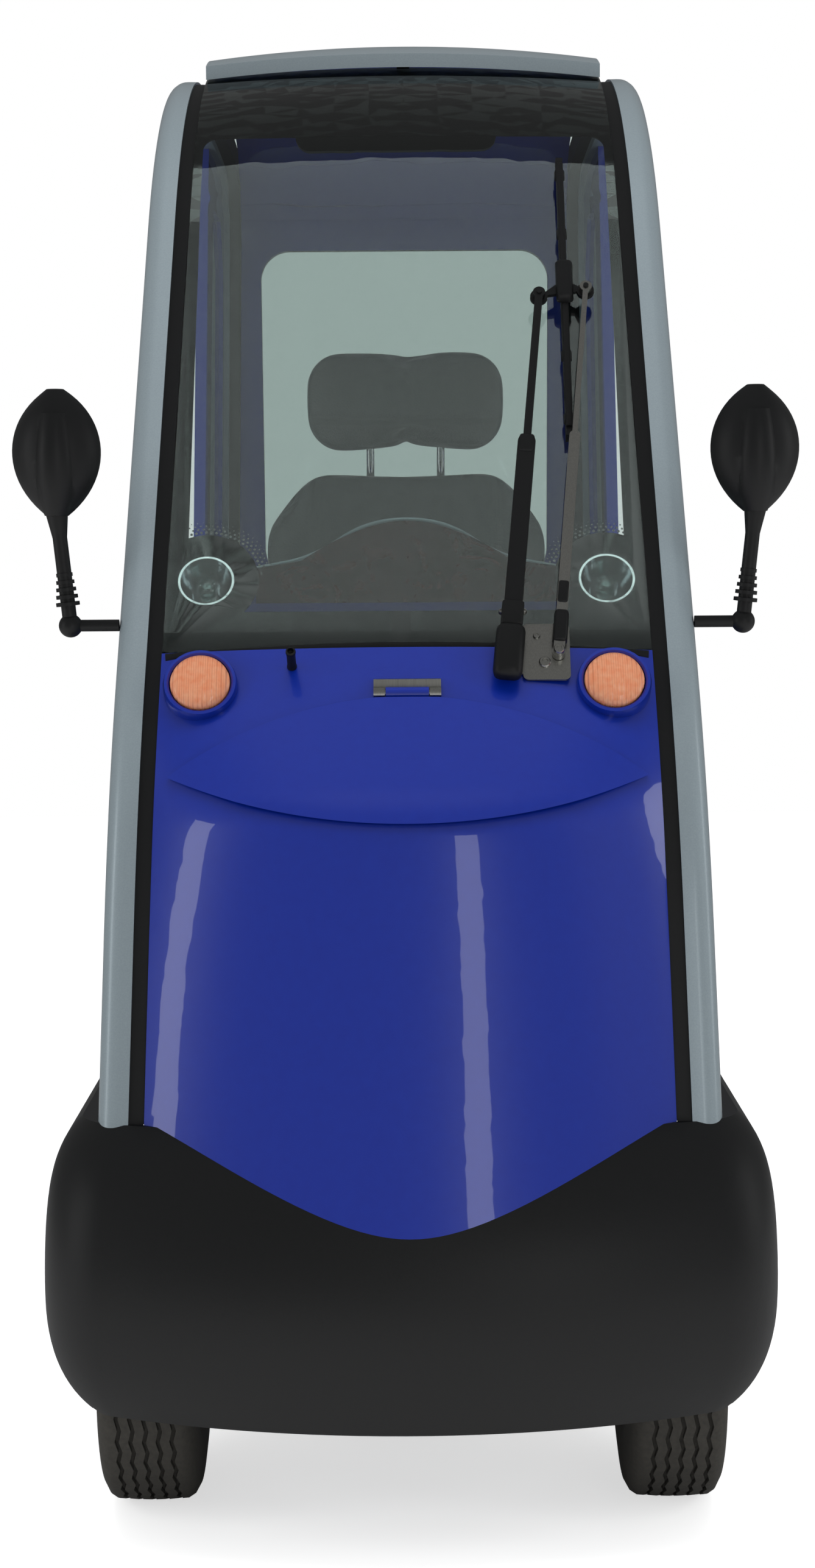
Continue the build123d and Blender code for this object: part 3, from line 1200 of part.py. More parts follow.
stay_y = BACK_REAR_Y + FIT_GAP
with BuildPart() as seat_frame:
    with BuildSketch(Plane.XY.offset(SEAT_FRAME_Z)):
        with Locations((0, SEAT_PIVOT_Y)):
            Circle(SEAT_POST_RADIUS + 14)
            Rectangle(2 * 200, 60)
            Rectangle(60, 320)
            Circle(SEAT_POST_RADIUS + RUNNING_GAP, mode=Mode.SUBTRACT)
    extrude(amount=CUSHION_BOTTOM_Z - SEAT_FRAME_Z - FIT_GAP)
    for side in (-1, 1):
        with BuildSketch(Plane.YZ.offset(side * 190)):
            with BuildLine():
                Polyline((240, SEAT_FRAME_Z), (stay_y + 12, SEAT_FRAME_Z), (stay_y + 12, 900), (stay_y, 900))
                Polyline((stay_y, 900), (stay_y, 534), (240, 534), (240, SEAT_FRAME_Z))
            make_face()
        extrude(amount=side * 10)
    with Locations((0, stay_y + 6, 707)):
        Box(400, 12, 386)
    with Locations((0, 240 + 6, SEAT_FRAME_Z + 14)):
        Box(400, 12, 28)
    for side in (-1, 1):
        bracket_x = BACK_HALF + BRACKET_GAP
        with BuildSketch(Plane.YZ.offset(side * bracket_x)):
            with Locations((ARMREST_PIVOT_Y, ARMREST_Z)):
                Circle(ARMREST_PIN)
        extrude(amount=side * (ARMREST_X + 14 - bracket_x))
        bracket_length = stay_y + STAY - ARMREST_PIVOT_Y + BRACKET_FRONT
        with Locations((side * (bracket_x + BRACKET / 2), ARMREST_PIVOT_Y - BRACKET_FRONT, ARMREST_Z)):
            Box(BRACKET, bracket_length, 2 * BRACKET, align=(Align.CENTER, Align.MIN, Align.CENTER))
        with Locations((side * 190, stay_y, ARMREST_Z)):
            towards = Align.MIN if side > 0 else Align.MAX
            Box(bracket_x + BRACKET - 190, STAY, 2 * BRACKET, align=(towards, Align.MIN, Align.CENTER))
seat_frame.part.label = "seat_frame"
export_step(seat_frame.part, "parts/seat_frame.step")

with BuildPart() as seat_cushion:
    with BuildSketch(Plane.XY.offset(CUSHION_BOTTOM_Z)):
        with Locations((0, (CUSHION_FRONT_Y + CUSHION_BACK_Y) / 2)):
            RectangleRounded(2 * CUSHION_HALF, CUSHION_BACK_Y - CUSHION_FRONT_Y, 40)
    extrude(amount=CUSHION_TOP_Z - CUSHION_BOTTOM_Z)
    fillet(seat_cushion.faces().sort_by(Axis.Z)[-1].edges(), 25)
seat_cushion.part.label = "seat_cushion"
export_step(seat_cushion.part, "parts/seat_cushion.step")

with BuildPart() as seat_back:
    with BuildSketch(Plane.XZ.offset(-BACK_FRONT_Y)) as seat_back_face:
        with BuildLine():
            right_edge = [(BACK_HALF * share, BACK_TOP_Z - drop) for share, drop in BACK_SHOULDER]
            left_edge = [(-x, z) for x, z in reversed(right_edge)]
            Polyline(*right_edge, *left_edge, close=True)
        make_face()
        fillet(seat_back_face.vertices(), BACK_ROUND)
    extrude(amount=-(BACK_REAR_Y - BACK_FRONT_Y))
    fillet(seat_back.faces().sort_by(Axis.Y)[0].edges(), 20)
seat_back.part.label = "seat_back"
export_step(seat_back.part, "parts/seat_back.step")

with BuildPart() as headrest:
    with BuildSketch(Plane.XZ.offset(-BACK_FRONT_Y - 5)):
        with Locations((0, (HEAD_BOTTOM_Z + HEAD_TOP_Z) / 2)):
            RectangleRounded(2 * HEAD_HALF, HEAD_TOP_Z - HEAD_BOTTOM_Z, 50)
    extrude(amount=-70)
    fillet(headrest.faces().sort_by(Axis.Y)[0].edges(), 20)
    with Locations((-50, 335, BACK_TOP_Z), (50, 335, BACK_TOP_Z)):
        Cylinder(6, HEAD_BOTTOM_Z - BACK_TOP_Z + 5, align=(Align.CENTER, Align.CENTER, Align.MIN))
headrest.part.label = "headrest"
export_step(headrest.part, "parts/headrest.step")

for side, hand in ((-1, "left"), (1, "right")):
    with BuildPart() as armrest:
        with BuildSketch(Plane.YZ.offset(side * (ARMREST_X - 20))):
            with BuildLine():
                rear_y = ARMREST_PIVOT_Y + 15
                Polyline((rear_y, 838), (rear_y, 862), (ARMREST_FRONT_Y, 875), (ARMREST_FRONT_Y, 838), close=True)
            make_face()
        extrude(amount=side * 40)
        fillet(armrest.edges().filter_by(Axis.X), 8)
        with BuildSketch(Plane.YZ.offset(side * (ARMREST_X - 30))):
            with Locations((ARMREST_PIVOT_Y, ARMREST_Z)):
                Circle(ARMREST_PIN + RUNNING_GAP)
        extrude(amount=side * 60, mode=Mode.SUBTRACT)
    armrest.part.label = f"armrest_{hand}"
    export_step(armrest.part, f"parts/armrest_{hand}.step")
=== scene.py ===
"""Looks of an enclosed mobility scooter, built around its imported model.

Metres. The scooter faces -Y, +X is the photograph's right side and +Z is up.
"""

import json
import math

import bmesh
import bpy
from mathutils import Matrix, Vector


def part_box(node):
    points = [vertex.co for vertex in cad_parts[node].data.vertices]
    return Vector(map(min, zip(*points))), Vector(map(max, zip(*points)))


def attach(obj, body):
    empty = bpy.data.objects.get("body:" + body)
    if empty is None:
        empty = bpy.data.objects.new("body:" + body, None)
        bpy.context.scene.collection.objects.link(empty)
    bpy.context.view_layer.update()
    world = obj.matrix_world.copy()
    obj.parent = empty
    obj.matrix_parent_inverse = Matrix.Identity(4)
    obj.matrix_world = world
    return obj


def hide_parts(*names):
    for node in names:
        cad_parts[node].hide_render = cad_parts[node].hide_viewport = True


bl_info = {
    "name": "Cabin Scooter Looks",
    "version": (1, 0, 0),
    "blender": (4, 5, 0),
    "location": "3D View > Sidebar > Cabin Scooter",
    "description": "Builds the paint, glass, wheels, seat and small parts of a cabin scooter around its frame",
    "category": "Add Mesh",
}

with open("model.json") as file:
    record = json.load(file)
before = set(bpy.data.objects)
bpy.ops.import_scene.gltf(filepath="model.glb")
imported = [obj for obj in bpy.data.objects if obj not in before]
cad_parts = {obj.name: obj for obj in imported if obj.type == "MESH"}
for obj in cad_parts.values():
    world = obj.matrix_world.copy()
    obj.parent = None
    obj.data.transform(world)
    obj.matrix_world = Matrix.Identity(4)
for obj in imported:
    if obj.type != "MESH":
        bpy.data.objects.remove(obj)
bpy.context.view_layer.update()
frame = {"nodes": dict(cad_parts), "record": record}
NODES = frame["nodes"]

# Camera that was fitted to the photograph
CAMERA_PLACE = (-0.0005, -3.350, 1.0429)
CAMERA_PITCH = -5.06
CAMERA_ROLL = -0.4
CAMERA_LENS_MM = 39.29
CAMERA_SENSOR_MM = 24.0

# Plane of the windscreen: its foot on the middle line, and its lean back from upright
SCREEN_FOOT = Vector((0.0, -0.5717, 0.9289))
SCREEN_LEAN = math.radians(30.5)
SCREEN_UP = Vector((0.0, math.sin(SCREEN_LEAN), math.cos(SCREEN_LEAN)))
SCREEN_OUT = Vector((0.0, -math.cos(SCREEN_LEAN), math.sin(SCREEN_LEAN)))

FRONT = math.radians(90)
SCREEN_TURN = (FRONT - SCREEN_LEAN, 0.0, 0.0)
EDGE_ANGLE = math.radians(32)

# Places on the windscreen's plane: across it, and up it from its foot
WIPER_FOOT = (0.109, -0.009)
LINK_FOOT = (0.163, -0.001)
WIPER_LEAN = math.radians(5.5)
BLADE_X = 0.185
BLADE_SPAN = (0.283, 0.673)
BLADE_YOKE = 0.489
LAMP_X = 0.221
LAMP_S = 0.108
LOBE_RADIUS = 0.058
CLEAR_HALF_X = 0.242
FRIT_LOW = 0.072
FRIT_OUT = -0.0091
TURN_X = 0.222
TURN_S = -0.032
PEG_X = -0.124
PEG_S = -0.010
STRIP_LINE = [(-0.262, 0.009), (-0.2, 0.014), (-0.1, 0.020), (0.0, 0.022), (0.1, 0.020), (0.2, 0.014), (0.262, 0.009)]
STRIP_OUT = -0.004

# Silver strip along the top of the wooden dash, a painted highlight on its edge: across and height, from the left
# shoulder over the hump
DASH_HIGHLIGHT_Y = -0.4055
DASH_HIGHLIGHT_LINE = [(-0.171, 1.0295), (-0.150, 1.0335), (-0.120, 1.039), (-0.088, 1.053), (-0.060, 1.072), (-0.030, 1.082)]
DASH_HIGHLIGHT_LINE += [(0.0, 1.0845)] + [(-x, z) for x, z in reversed(DASH_HIGHLIGHT_LINE)]

# Seat: foot of the headrest's shell, and the back's pleats by distance from the middle, width and depth
HEADREST_LOW_Z = 1.1895
PLEATS = [(0.030, 0.009, 0.004), (0.062, 0.011, 0.006), (0.098, 0.012, 0.007), (0.158, 0.013, 0.007), (0.190, 0.011, 0.005)]
CABIN_MIRROR_Z = 1.595

# Light that the floor's paper adds for the camera alone, so that it is white outside the shadow
FLOOR_GLOW = 0.62

# Share of the studio's plain light that gloss mirrors: the room round the softboxes is dim
GLOSS_SHARE = 0.3


def linear(code):
    """sRGB hex code to linear red, green, blue and alpha."""
    parts = [int(code[place:place + 2], 16) / 255 for place in (1, 3, 5)]
    low = [part / 12.92 if part <= 0.04045 else ((part + 0.055) / 1.055) ** 2.4 for part in parts]
    return (*low, 1.0)


def add_node(material, kind, inputs=None, **settings):
    """Adds a node with its settings. An input is given a value, or another node's output to link."""
    tree = material.node_tree
    node = tree.nodes.new(kind)
    for name, value in settings.items():
        setattr(node, name, value)
    for name, value in (inputs or {}).items():
        if isinstance(value, bpy.types.NodeSocket):
            tree.links.new(value, node.inputs[name])
        else:
            node.inputs[name].default_value = value
    return node


def new_material(name, **sockets):
    """A material of one Principled BSDF, with constants on its sockets. Gives the material and the shader."""
    material = bpy.data.materials.new(name)
    material.use_nodes = True
    shader = material.node_tree.nodes["Principled BSDF"]
    for socket, value in sockets.items():
        shader.inputs[socket.replace("_", " ")].default_value = value
    return material, shader


def object_place(material, scale=(1.0, 1.0, 1.0), turn=(0.0, 0.0, 0.0), shift=(0.0, 0.0, 0.0)):
    """Object coordinates through a Mapping node, as an output."""
    coordinates = add_node(material, "ShaderNodeTexCoord")
    inputs = {"Vector": coordinates.outputs["Object"], "Scale": scale, "Rotation": turn, "Location": shift}
    return add_node(material, "ShaderNodeMapping", inputs).outputs["Vector"]


def grain(material, shader, millimetres, height, place=None, detail=3.0):
    """Noise bump with grains of a real size on a shader."""
    inputs = {"Vector": place or object_place(material), "Scale": 1000.0 / millimetres, "Detail": detail}
    noise = add_node(material, "ShaderNodeTexNoise", inputs)
    bump = add_node(material, "ShaderNodeBump", {"Height": noise.outputs["Fac"], "Distance": height / 1000})
    material.node_tree.links.new(bump.outputs["Normal"], shader.inputs["Normal"])
    return noise


def tint(material, shader, noise, dark, light, socket="Base Color"):
    """Colours a socket between two hex codes by a noise."""
    ramp = add_node(material, "ShaderNodeMix", {"Factor": noise.outputs["Fac"]}, data_type="RGBA")
    ramp.inputs[6].default_value = linear(dark)
    ramp.inputs[7].default_value = linear(light)
    material.node_tree.links.new(ramp.outputs[2], shader.inputs[socket])
    return ramp


def blue_lacquer():
    """Sprayed and polished blue lacquer on glass fibre: deep colour under a clear coat."""
    material, shader = new_material("blue_lacquer", Roughness=0.32, IOR=1.5, Coat_Weight=1.0, Coat_Roughness=0.03)
    noise = grain(material, shader, 9.0, 0.02)
    tint(material, shader, noise, "#001f85", "#00258e")
    return material


def silver_lacquer():
    """Sprayed silver-grey lacquer on bent tube, satin with a fine flake."""
    material, shader = new_material("silver_lacquer", Roughness=0.34, Metallic=0.35, Coat_Weight=0.35, Coat_Roughness=0.12)
    noise = grain(material, shader, 1.6, 0.01)
    tint(material, shader, noise, "#87949b", "#98a5ab")
    return material


def moulded_polypropylene():
    """Black polypropylene, moulded with a fine leather-like grain, satin."""
    material, shader = new_material("moulded_polypropylene", Roughness=0.46, IOR=1.49)
    noise = grain(material, shader, 2.2, 0.08)
    tint(material, shader, noise, "#0b0c0d", "#121314")
    return material


def extruded_rubber():
    """Black EPDM, extruded: dull, with a soft sheen."""
    material, shader = new_material("extruded_rubber", Roughness=0.55, IOR=1.5)
    noise = grain(material, shader, 3.0, 0.03)
    tint(material, shader, noise, "#0c0d0e", "#131415")
    return material


def ceramic_frit():
    """Black ceramic print fired on the glass: glossy."""
    material, shader = new_material("ceramic_frit", Roughness=0.07, IOR=1.5, Coat_Weight=0.4, Coat_Roughness=0.04)
    place = object_place(material)
    noise = add_node(material, "ShaderNodeTexNoise", {"Vector": place, "Scale": 1000.0 / 30.0, "Detail": 2.0})
    tint(material, shader, noise, "#050607", "#090a0b")
    return material


def laminated_glass():
    """Laminated glass, a little blue-green."""
    material, shader = new_material("laminated_glass", Roughness=0.0, IOR=1.45, Transmission_Weight=1.0)
    shader.inputs["Base Color"].default_value = linear("#bcc8c5")
    return material


def vacuum_chrome():
    """Vacuum-metallised reflector: mirror bright, faintly faceted."""
    material, shader = new_material("vacuum_chrome", Roughness=0.12, Metallic=1.0)
    noise = grain(material, shader, 14.0, 0.3)
    tint(material, shader, noise, "#c9cdd0", "#e6e9eb")
    return material


def amber_polycarbonate():
    """Moulded amber polycarbonate lens, see-through, with upright flutes inside it."""
    material, shader = new_material("amber_polycarbonate", Roughness=0.1, IOR=1.58, Transmission_Weight=0.25)
    shader.inputs["Coat Weight"].default_value = 0.8
    place = object_place(material)
    flutes = {"Vector": place, "Scale": 1000.0 / 5.0 / 6.2832 * 2.0, "Distortion": 0.0}
    wave = add_node(material, "ShaderNodeTexWave", flutes, wave_type="BANDS", bands_direction="X")
    cells = add_node(material, "ShaderNodeTexNoise", {"Vector": place, "Scale": 1000.0 / 7.0, "Detail": 1.0})
    bump = add_node(material, "ShaderNodeBump", {"Height": wave.outputs["Fac"], "Distance": 0.0012})
    material.node_tree.links.new(bump.outputs["Normal"], shader.inputs["Normal"])
    tint(material, shader, cells, "#f08a5c", "#f7b48c")
    return material


def red_polycarbonate():
    """Moulded red polycarbonate lens."""
    material, shader = new_material("red_polycarbonate", Roughness=0.12, IOR=1.58, Transmission_Weight=0.2)
    noise = grain(material, shader, 6.0, 0.1)
    tint(material, shader, noise, "#8c0c0e", "#b01a18")
    return material


def zinc_plate():
    """Zinc-plated steel, lightly brushed."""
    material, shader = new_material("zinc_plate", Roughness=0.28, Metallic=1.0)
    noise = grain(material, shader, 1.2, 0.02, object_place(material, scale=(1.0, 1.0, 0.08)))
    tint(material, shader, noise, "#a9a9a4", "#d2d2cc")
    return material


def burl_veneer():
    """Polished red-brown burl veneer under lacquer: swirled figure with small eyes."""
    material, shader = new_material("burl_veneer", Roughness=0.25, Coat_Weight=0.9, Coat_Roughness=0.05)
    place = object_place(material, scale=(1.0, 1.0, 1.3))
    noise = grain(material, shader, 60.0, 0.02, place, detail=9.0)
    noise.inputs["Distortion"].default_value = 3.5
    tint(material, shader, noise, "#1c0806", "#5a2219")
    return material


def black_enamel():
    """Black enamelled steel: smooth, with a slight orange peel."""
    material, shader = new_material("black_enamel", Roughness=0.35, IOR=1.5, Coat_Weight=0.2)
    noise = grain(material, shader, 8.0, 0.04)
    tint(material, shader, noise, "#151617", "#1d1e20")
    return material


def upholstery_leather():
    """Dark grey-green upholstery leather: pebble grain and soft sheen."""
    material, shader = new_material("upholstery_leather", Roughness=0.42, IOR=1.48, Sheen_Weight=0.06)
    place = object_place(material)
    cells = add_node(material, "ShaderNodeTexVoronoi", {"Vector": place, "Scale": 1000.0 / 2.6})
    noise = add_node(material, "ShaderNodeTexNoise", {"Vector": place, "Scale": 1000.0 / 45.0, "Detail": 4.0})
    bump = add_node(material, "ShaderNodeBump", {"Height": cells.outputs["Distance"], "Distance": 0.0002})
    material.node_tree.links.new(bump.outputs["Normal"], shader.inputs["Normal"])
    tint(material, shader, noise, "#1d2422", "#2b3330")
    return material


def tyre_rubber():
    """Grey-black tyre rubber, dusty from the road."""
    material, shader = new_material("tyre_rubber", Roughness=0.8, IOR=1.5)
    noise = grain(material, shader, 5.0, 0.15)
    tint(material, shader, noise, "#2b2a27", "#45423c")
    return material


def wheel_lacquer():
    """Silver wheel lacquer on pressed steel."""
    material, shader = new_material("wheel_lacquer", Roughness=0.32, Metallic=0.7, Coat_Weight=0.3)
    noise = grain(material, shader, 2.0, 0.01)
    tint(material, shader, noise, "#8e9499", "#a3a9ad")
    return material


def battery_case():
    """Dull black battery case of polypropylene."""
    material, shader = new_material("battery_case", Roughness=0.6)
    noise = grain(material, shader, 4.0, 0.06)
    tint(material, shader, noise, "#19191a", "#232324")
    return material


# The record's slots and the finish of each
SLOT_FINISHES = {
    "silver_paint": silver_lacquer,
    "black_rubber": extruded_rubber,
    "black_plastic": moulded_polypropylene,
    "blue_paint": blue_lacquer,
    "glass": laminated_glass,
    "black_print": ceramic_frit,
    "lamp_chrome": vacuum_chrome,
    "amber_lens": amber_polycarbonate,
    "red_lens": red_polycarbonate,
    "zinc": zinc_plate,
    "burl_wood": burl_veneer,
    "black_steel": black_enamel,
    "battery_case": battery_case,
    "leather": upholstery_leather,
    "tyre": tyre_rubber,
    "rim_paint": wheel_lacquer,
}
FINISHES = {}


def finish(name):
    """The material of a record slot, made once."""
    if name not in FINISHES:
        FINISHES[name] = SLOT_FINISHES[name]()
    return FINISHES[name]


def dress(thing, slot, body=None, nodes=()):
    """Gives a finished piece the material of its slot and its body, and hides the nodes that it stands for."""
    thing.data.materials.clear()
    thing.data.materials.append(finish(slot))
    if body:
        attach(thing, body)
    if nodes:
        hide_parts(*nodes)
    return thing


def deselect():
    """Leaves edit mode and deselects everything."""
    if bpy.context.object and bpy.context.object.mode != "OBJECT":
        bpy.ops.object.mode_set(mode="OBJECT")
    bpy.ops.object.select_all(action="DESELECT")


def add_shading(thing):
    """Smooth shading with sharp edges, as a modifier that leaves the mesh as it is."""
    group = bpy.data.node_groups.get("smooth_shading") or shading_group()
    modifier = thing.modifiers.new("smooth_shading", "NODES")
    modifier.node_group = group


def shading_group():
    """Geometry nodes: corners merged, faces smooth, edges over the angle sharp."""
    group = bpy.data.node_groups.new("smooth_shading", "GeometryNodeTree")
    group.interface.new_socket("Geometry", in_out="INPUT", socket_type="NodeSocketGeometry")
    group.interface.new_socket("Geometry", in_out="OUTPUT", socket_type="NodeSocketGeometry")
    entry = group.nodes.new("NodeGroupInput")
    merge = group.nodes.new("GeometryNodeMergeByDistance")
    merge.inputs["Distance"].default_value = 0.00001
    smooth = group.nodes.new("GeometryNodeSetShadeSmooth")
    smooth.domain = "FACE"
    corner = group.nodes.new("GeometryNodeInputMeshEdgeAngle")
    limit = group.nodes.new("FunctionNodeCompare")
    limit.operation = "GREATER_THAN"
    limit.inputs["B"].default_value = EDGE_ANGLE
    sharp = group.nodes.new("GeometryNodeSetShadeSmooth")
    sharp.domain = "EDGE"
    sharp.inputs["Shade Smooth"].default_value = False
    out = group.nodes.new("NodeGroupOutput")
    links = group.links
    links.new(entry.outputs[0], merge.inputs["Geometry"])
    links.new(merge.outputs[0], smooth.inputs["Geometry"])
    links.new(smooth.outputs[0], sharp.inputs["Geometry"])
    links.new(corner.outputs["Unsigned Angle"], limit.inputs["A"])
    links.new(limit.outputs["Result"], sharp.inputs["Selection"])
    links.new(sharp.outputs[0], out.inputs[0])
    return group


def settle(thing):
    """Applies the modifiers, and puts the place into the mesh."""
    deselect()
    thing.select_set(True)
    bpy.context.view_layer.objects.active = thing
    for modifier in list(thing.modifiers):
        bpy.ops.object.modifier_apply(modifier=modifier.name)
    bpy.ops.object.transform_apply(location=True, rotation=True, scale=True)
    return thing


def shade(thing, degrees=35.0):
    """Smooth shading with sharp edges over an angle."""
    deselect()
    thing.select_set(True)
    bpy.context.view_layer.objects.active = thing
    bpy.ops.object.shade_smooth_by_angle(angle=math.radians(degrees))
    return thing


def edit(thing):
    """Goes into edit mode on one piece, with nothing selected."""
    deselect()
    thing.select_set(True)
    bpy.context.view_layer.objects.active = thing
    bpy.ops.object.mode_set(mode="EDIT")
    bpy.ops.mesh.select_mode(type="FACE")
    bpy.ops.mesh.select_all(action="DESELECT")
    return bmesh.from_edit_mesh(thing.data)


def pick_faces(thing, mesh, test):
    """Selects the faces whose middle and normal pass a test, in edit mode."""
    for face in mesh.faces:
        face.select_set(test(face.calc_center_median(), face.normal))
    bmesh.update_edit_mesh(thing.data)


def turned(name, rings, place, turn=(0.0, 0.0, 0.0), segments=32, closed=True):
    """A turned piece: a circle extruded from ring to ring. Each ring is a radius and a height on the axis."""
    deselect()
    radius, height = rings[0]
    fill = "NGON" if closed else "NOTHING"
    bpy.ops.mesh.primitive_circle_add(vertices=segments, radius=radius, fill_type=fill, location=(0, 0, height))
    thing = bpy.context.object
    thing.name = name
    bpy.ops.object.mode_set(mode="EDIT")
    bpy.ops.mesh.select_mode(type="VERT")
    bpy.ops.mesh.select_all(action="SELECT")
    for next_radius, next_height in rings[1:]:
        bpy.ops.mesh.extrude_region_move(TRANSFORM_OT_translate={"value": (0, 0, next_height - height)})
        share = next_radius / radius
        bpy.ops.transform.resize(value=(share, share, 1), center_override=(0, 0, next_height))
        radius, height = next_radius, next_height
    bpy.ops.mesh.select_all(action="SELECT")
    bpy.ops.mesh.remove_doubles(threshold=0.00001)
    bpy.ops.mesh.normals_make_consistent(inside=False)
    bpy.ops.object.mode_set(mode="OBJECT")
    bpy.ops.object.transform_apply(location=True)
    thing.rotation_euler = turn
    thing.location = place
    return shade(settle(thing))


def block(name, size, place, bevel=0.002, turn=(0.0, 0.0, 0.0), taper=None):
    """A moulded block: a cube scaled to size, with its top drawn in if asked, and rounded edges."""
    deselect()
    bpy.ops.mesh.primitive_cube_add(size=1)
    thing = bpy.context.object
    thing.name = name
    thing.scale = size
    settle(thing)
    if taper:
        mesh = edit(thing)
        pick_faces(thing, mesh, lambda middle, normal: normal.z > 0.9)
        bpy.ops.transform.resize(value=(taper[0], taper[1], 1), center_override=(0, 0, size[2] / 2))
        bpy.ops.object.mode_set(mode="OBJECT")
    rounding = thing.modifiers.new("rounding", "BEVEL")
    rounding.width = bevel
    rounding.segments = 3
    thing.rotation_euler = turn
    thing.location = place
    return shade(settle(thing))


def joined(name, things):
    """Joins pieces into the first one."""
    deselect()
    for thing in things:
        thing.select_set(True)
    bpy.context.view_layer.objects.active = things[0]
    bpy.ops.object.join()
    things[0].name = name
    return things[0]


def twin(thing, name, move):
    """A copy with its own mesh, moved by a matrix."""
    other = thing.copy()
    other.data = thing.data.copy()
    other.name = name
    other.data.transform(move)
    bpy.context.scene.collection.objects.link(other)
    return other


def on_screen(x, up, out):
    """A place on the windscreen's plane: across, up it, and out of it."""
    return SCREEN_FOOT + Vector((x, 0.0, 0.0)) + SCREEN_UP * up + SCREEN_OUT * out


class ScooterStageSettings(bpy.types.PropertyGroup):
    """Sizes and brightness of the stage."""

    floor_width: bpy.props.FloatProperty(name="Floor width", description="Side of the floor", default=14.0, unit="LENGTH")
    world_level: bpy.props.FloatProperty(name="World level", description="Brightness of the plain studio", default=0.55)
    key_power: bpy.props.FloatProperty(name="Key lamp", description="Power of the overhead softbox in watts", default=60.0)


class ScooterTyreSettings(bpy.types.PropertyGroup):
    """Sizes of the tyres."""

    radius: bpy.props.FloatProperty(name="Radius", description="Outer radius of a tyre", default=0.165, unit="LENGTH")
    width: bpy.props.FloatProperty(name="Width", description="Width over the side walls", default=0.1058, unit="LENGTH")
    groove_width: bpy.props.FloatProperty(name="Groove width", description="Width of a groove", default=0.0045, unit="LENGTH")
    groove_depth: bpy.props.FloatProperty(name="Groove depth", description="Depth of a groove", default=0.005, unit="LENGTH")
    segments: bpy.props.IntProperty(name="Segments", description="Steps round the tyre, even", default=72)


class ScooterSeatSettings(bpy.types.PropertyGroup):
    """How the seat's pads are made."""

    voxel: bpy.props.FloatProperty(name="Mesh size", description="Edge of the remeshed pad", default=0.006, unit="LENGTH")
    pressure: bpy.props.FloatProperty(name="Pressure", description="Pressure inside a pad", default=4.0)
    cap: bpy.props.FloatProperty(name="Cap", description="Furthest a point may move", default=0.014, unit="LENGTH")
    shrink: bpy.props.FloatVectorProperty(name="Start size", description="Share of the pad's box it starts at", default=(0.96, 0.9, 0.97))


class SCOOTER_OT_node_finishes(bpy.types.Operator):
    """Gives every node of the frame the finish of its slot."""

    bl_idname = "scooter.node_finishes"
    bl_label = "Node finishes"

    def execute(self, context):
        for row in frame["record"]["subparts"]:
            thing = NODES[row["node"]]
            thing.data.materials.clear()
            thing.data.materials.append(finish(row["material_slot"]))
            add_shading(thing)
        return {"FINISHED"}


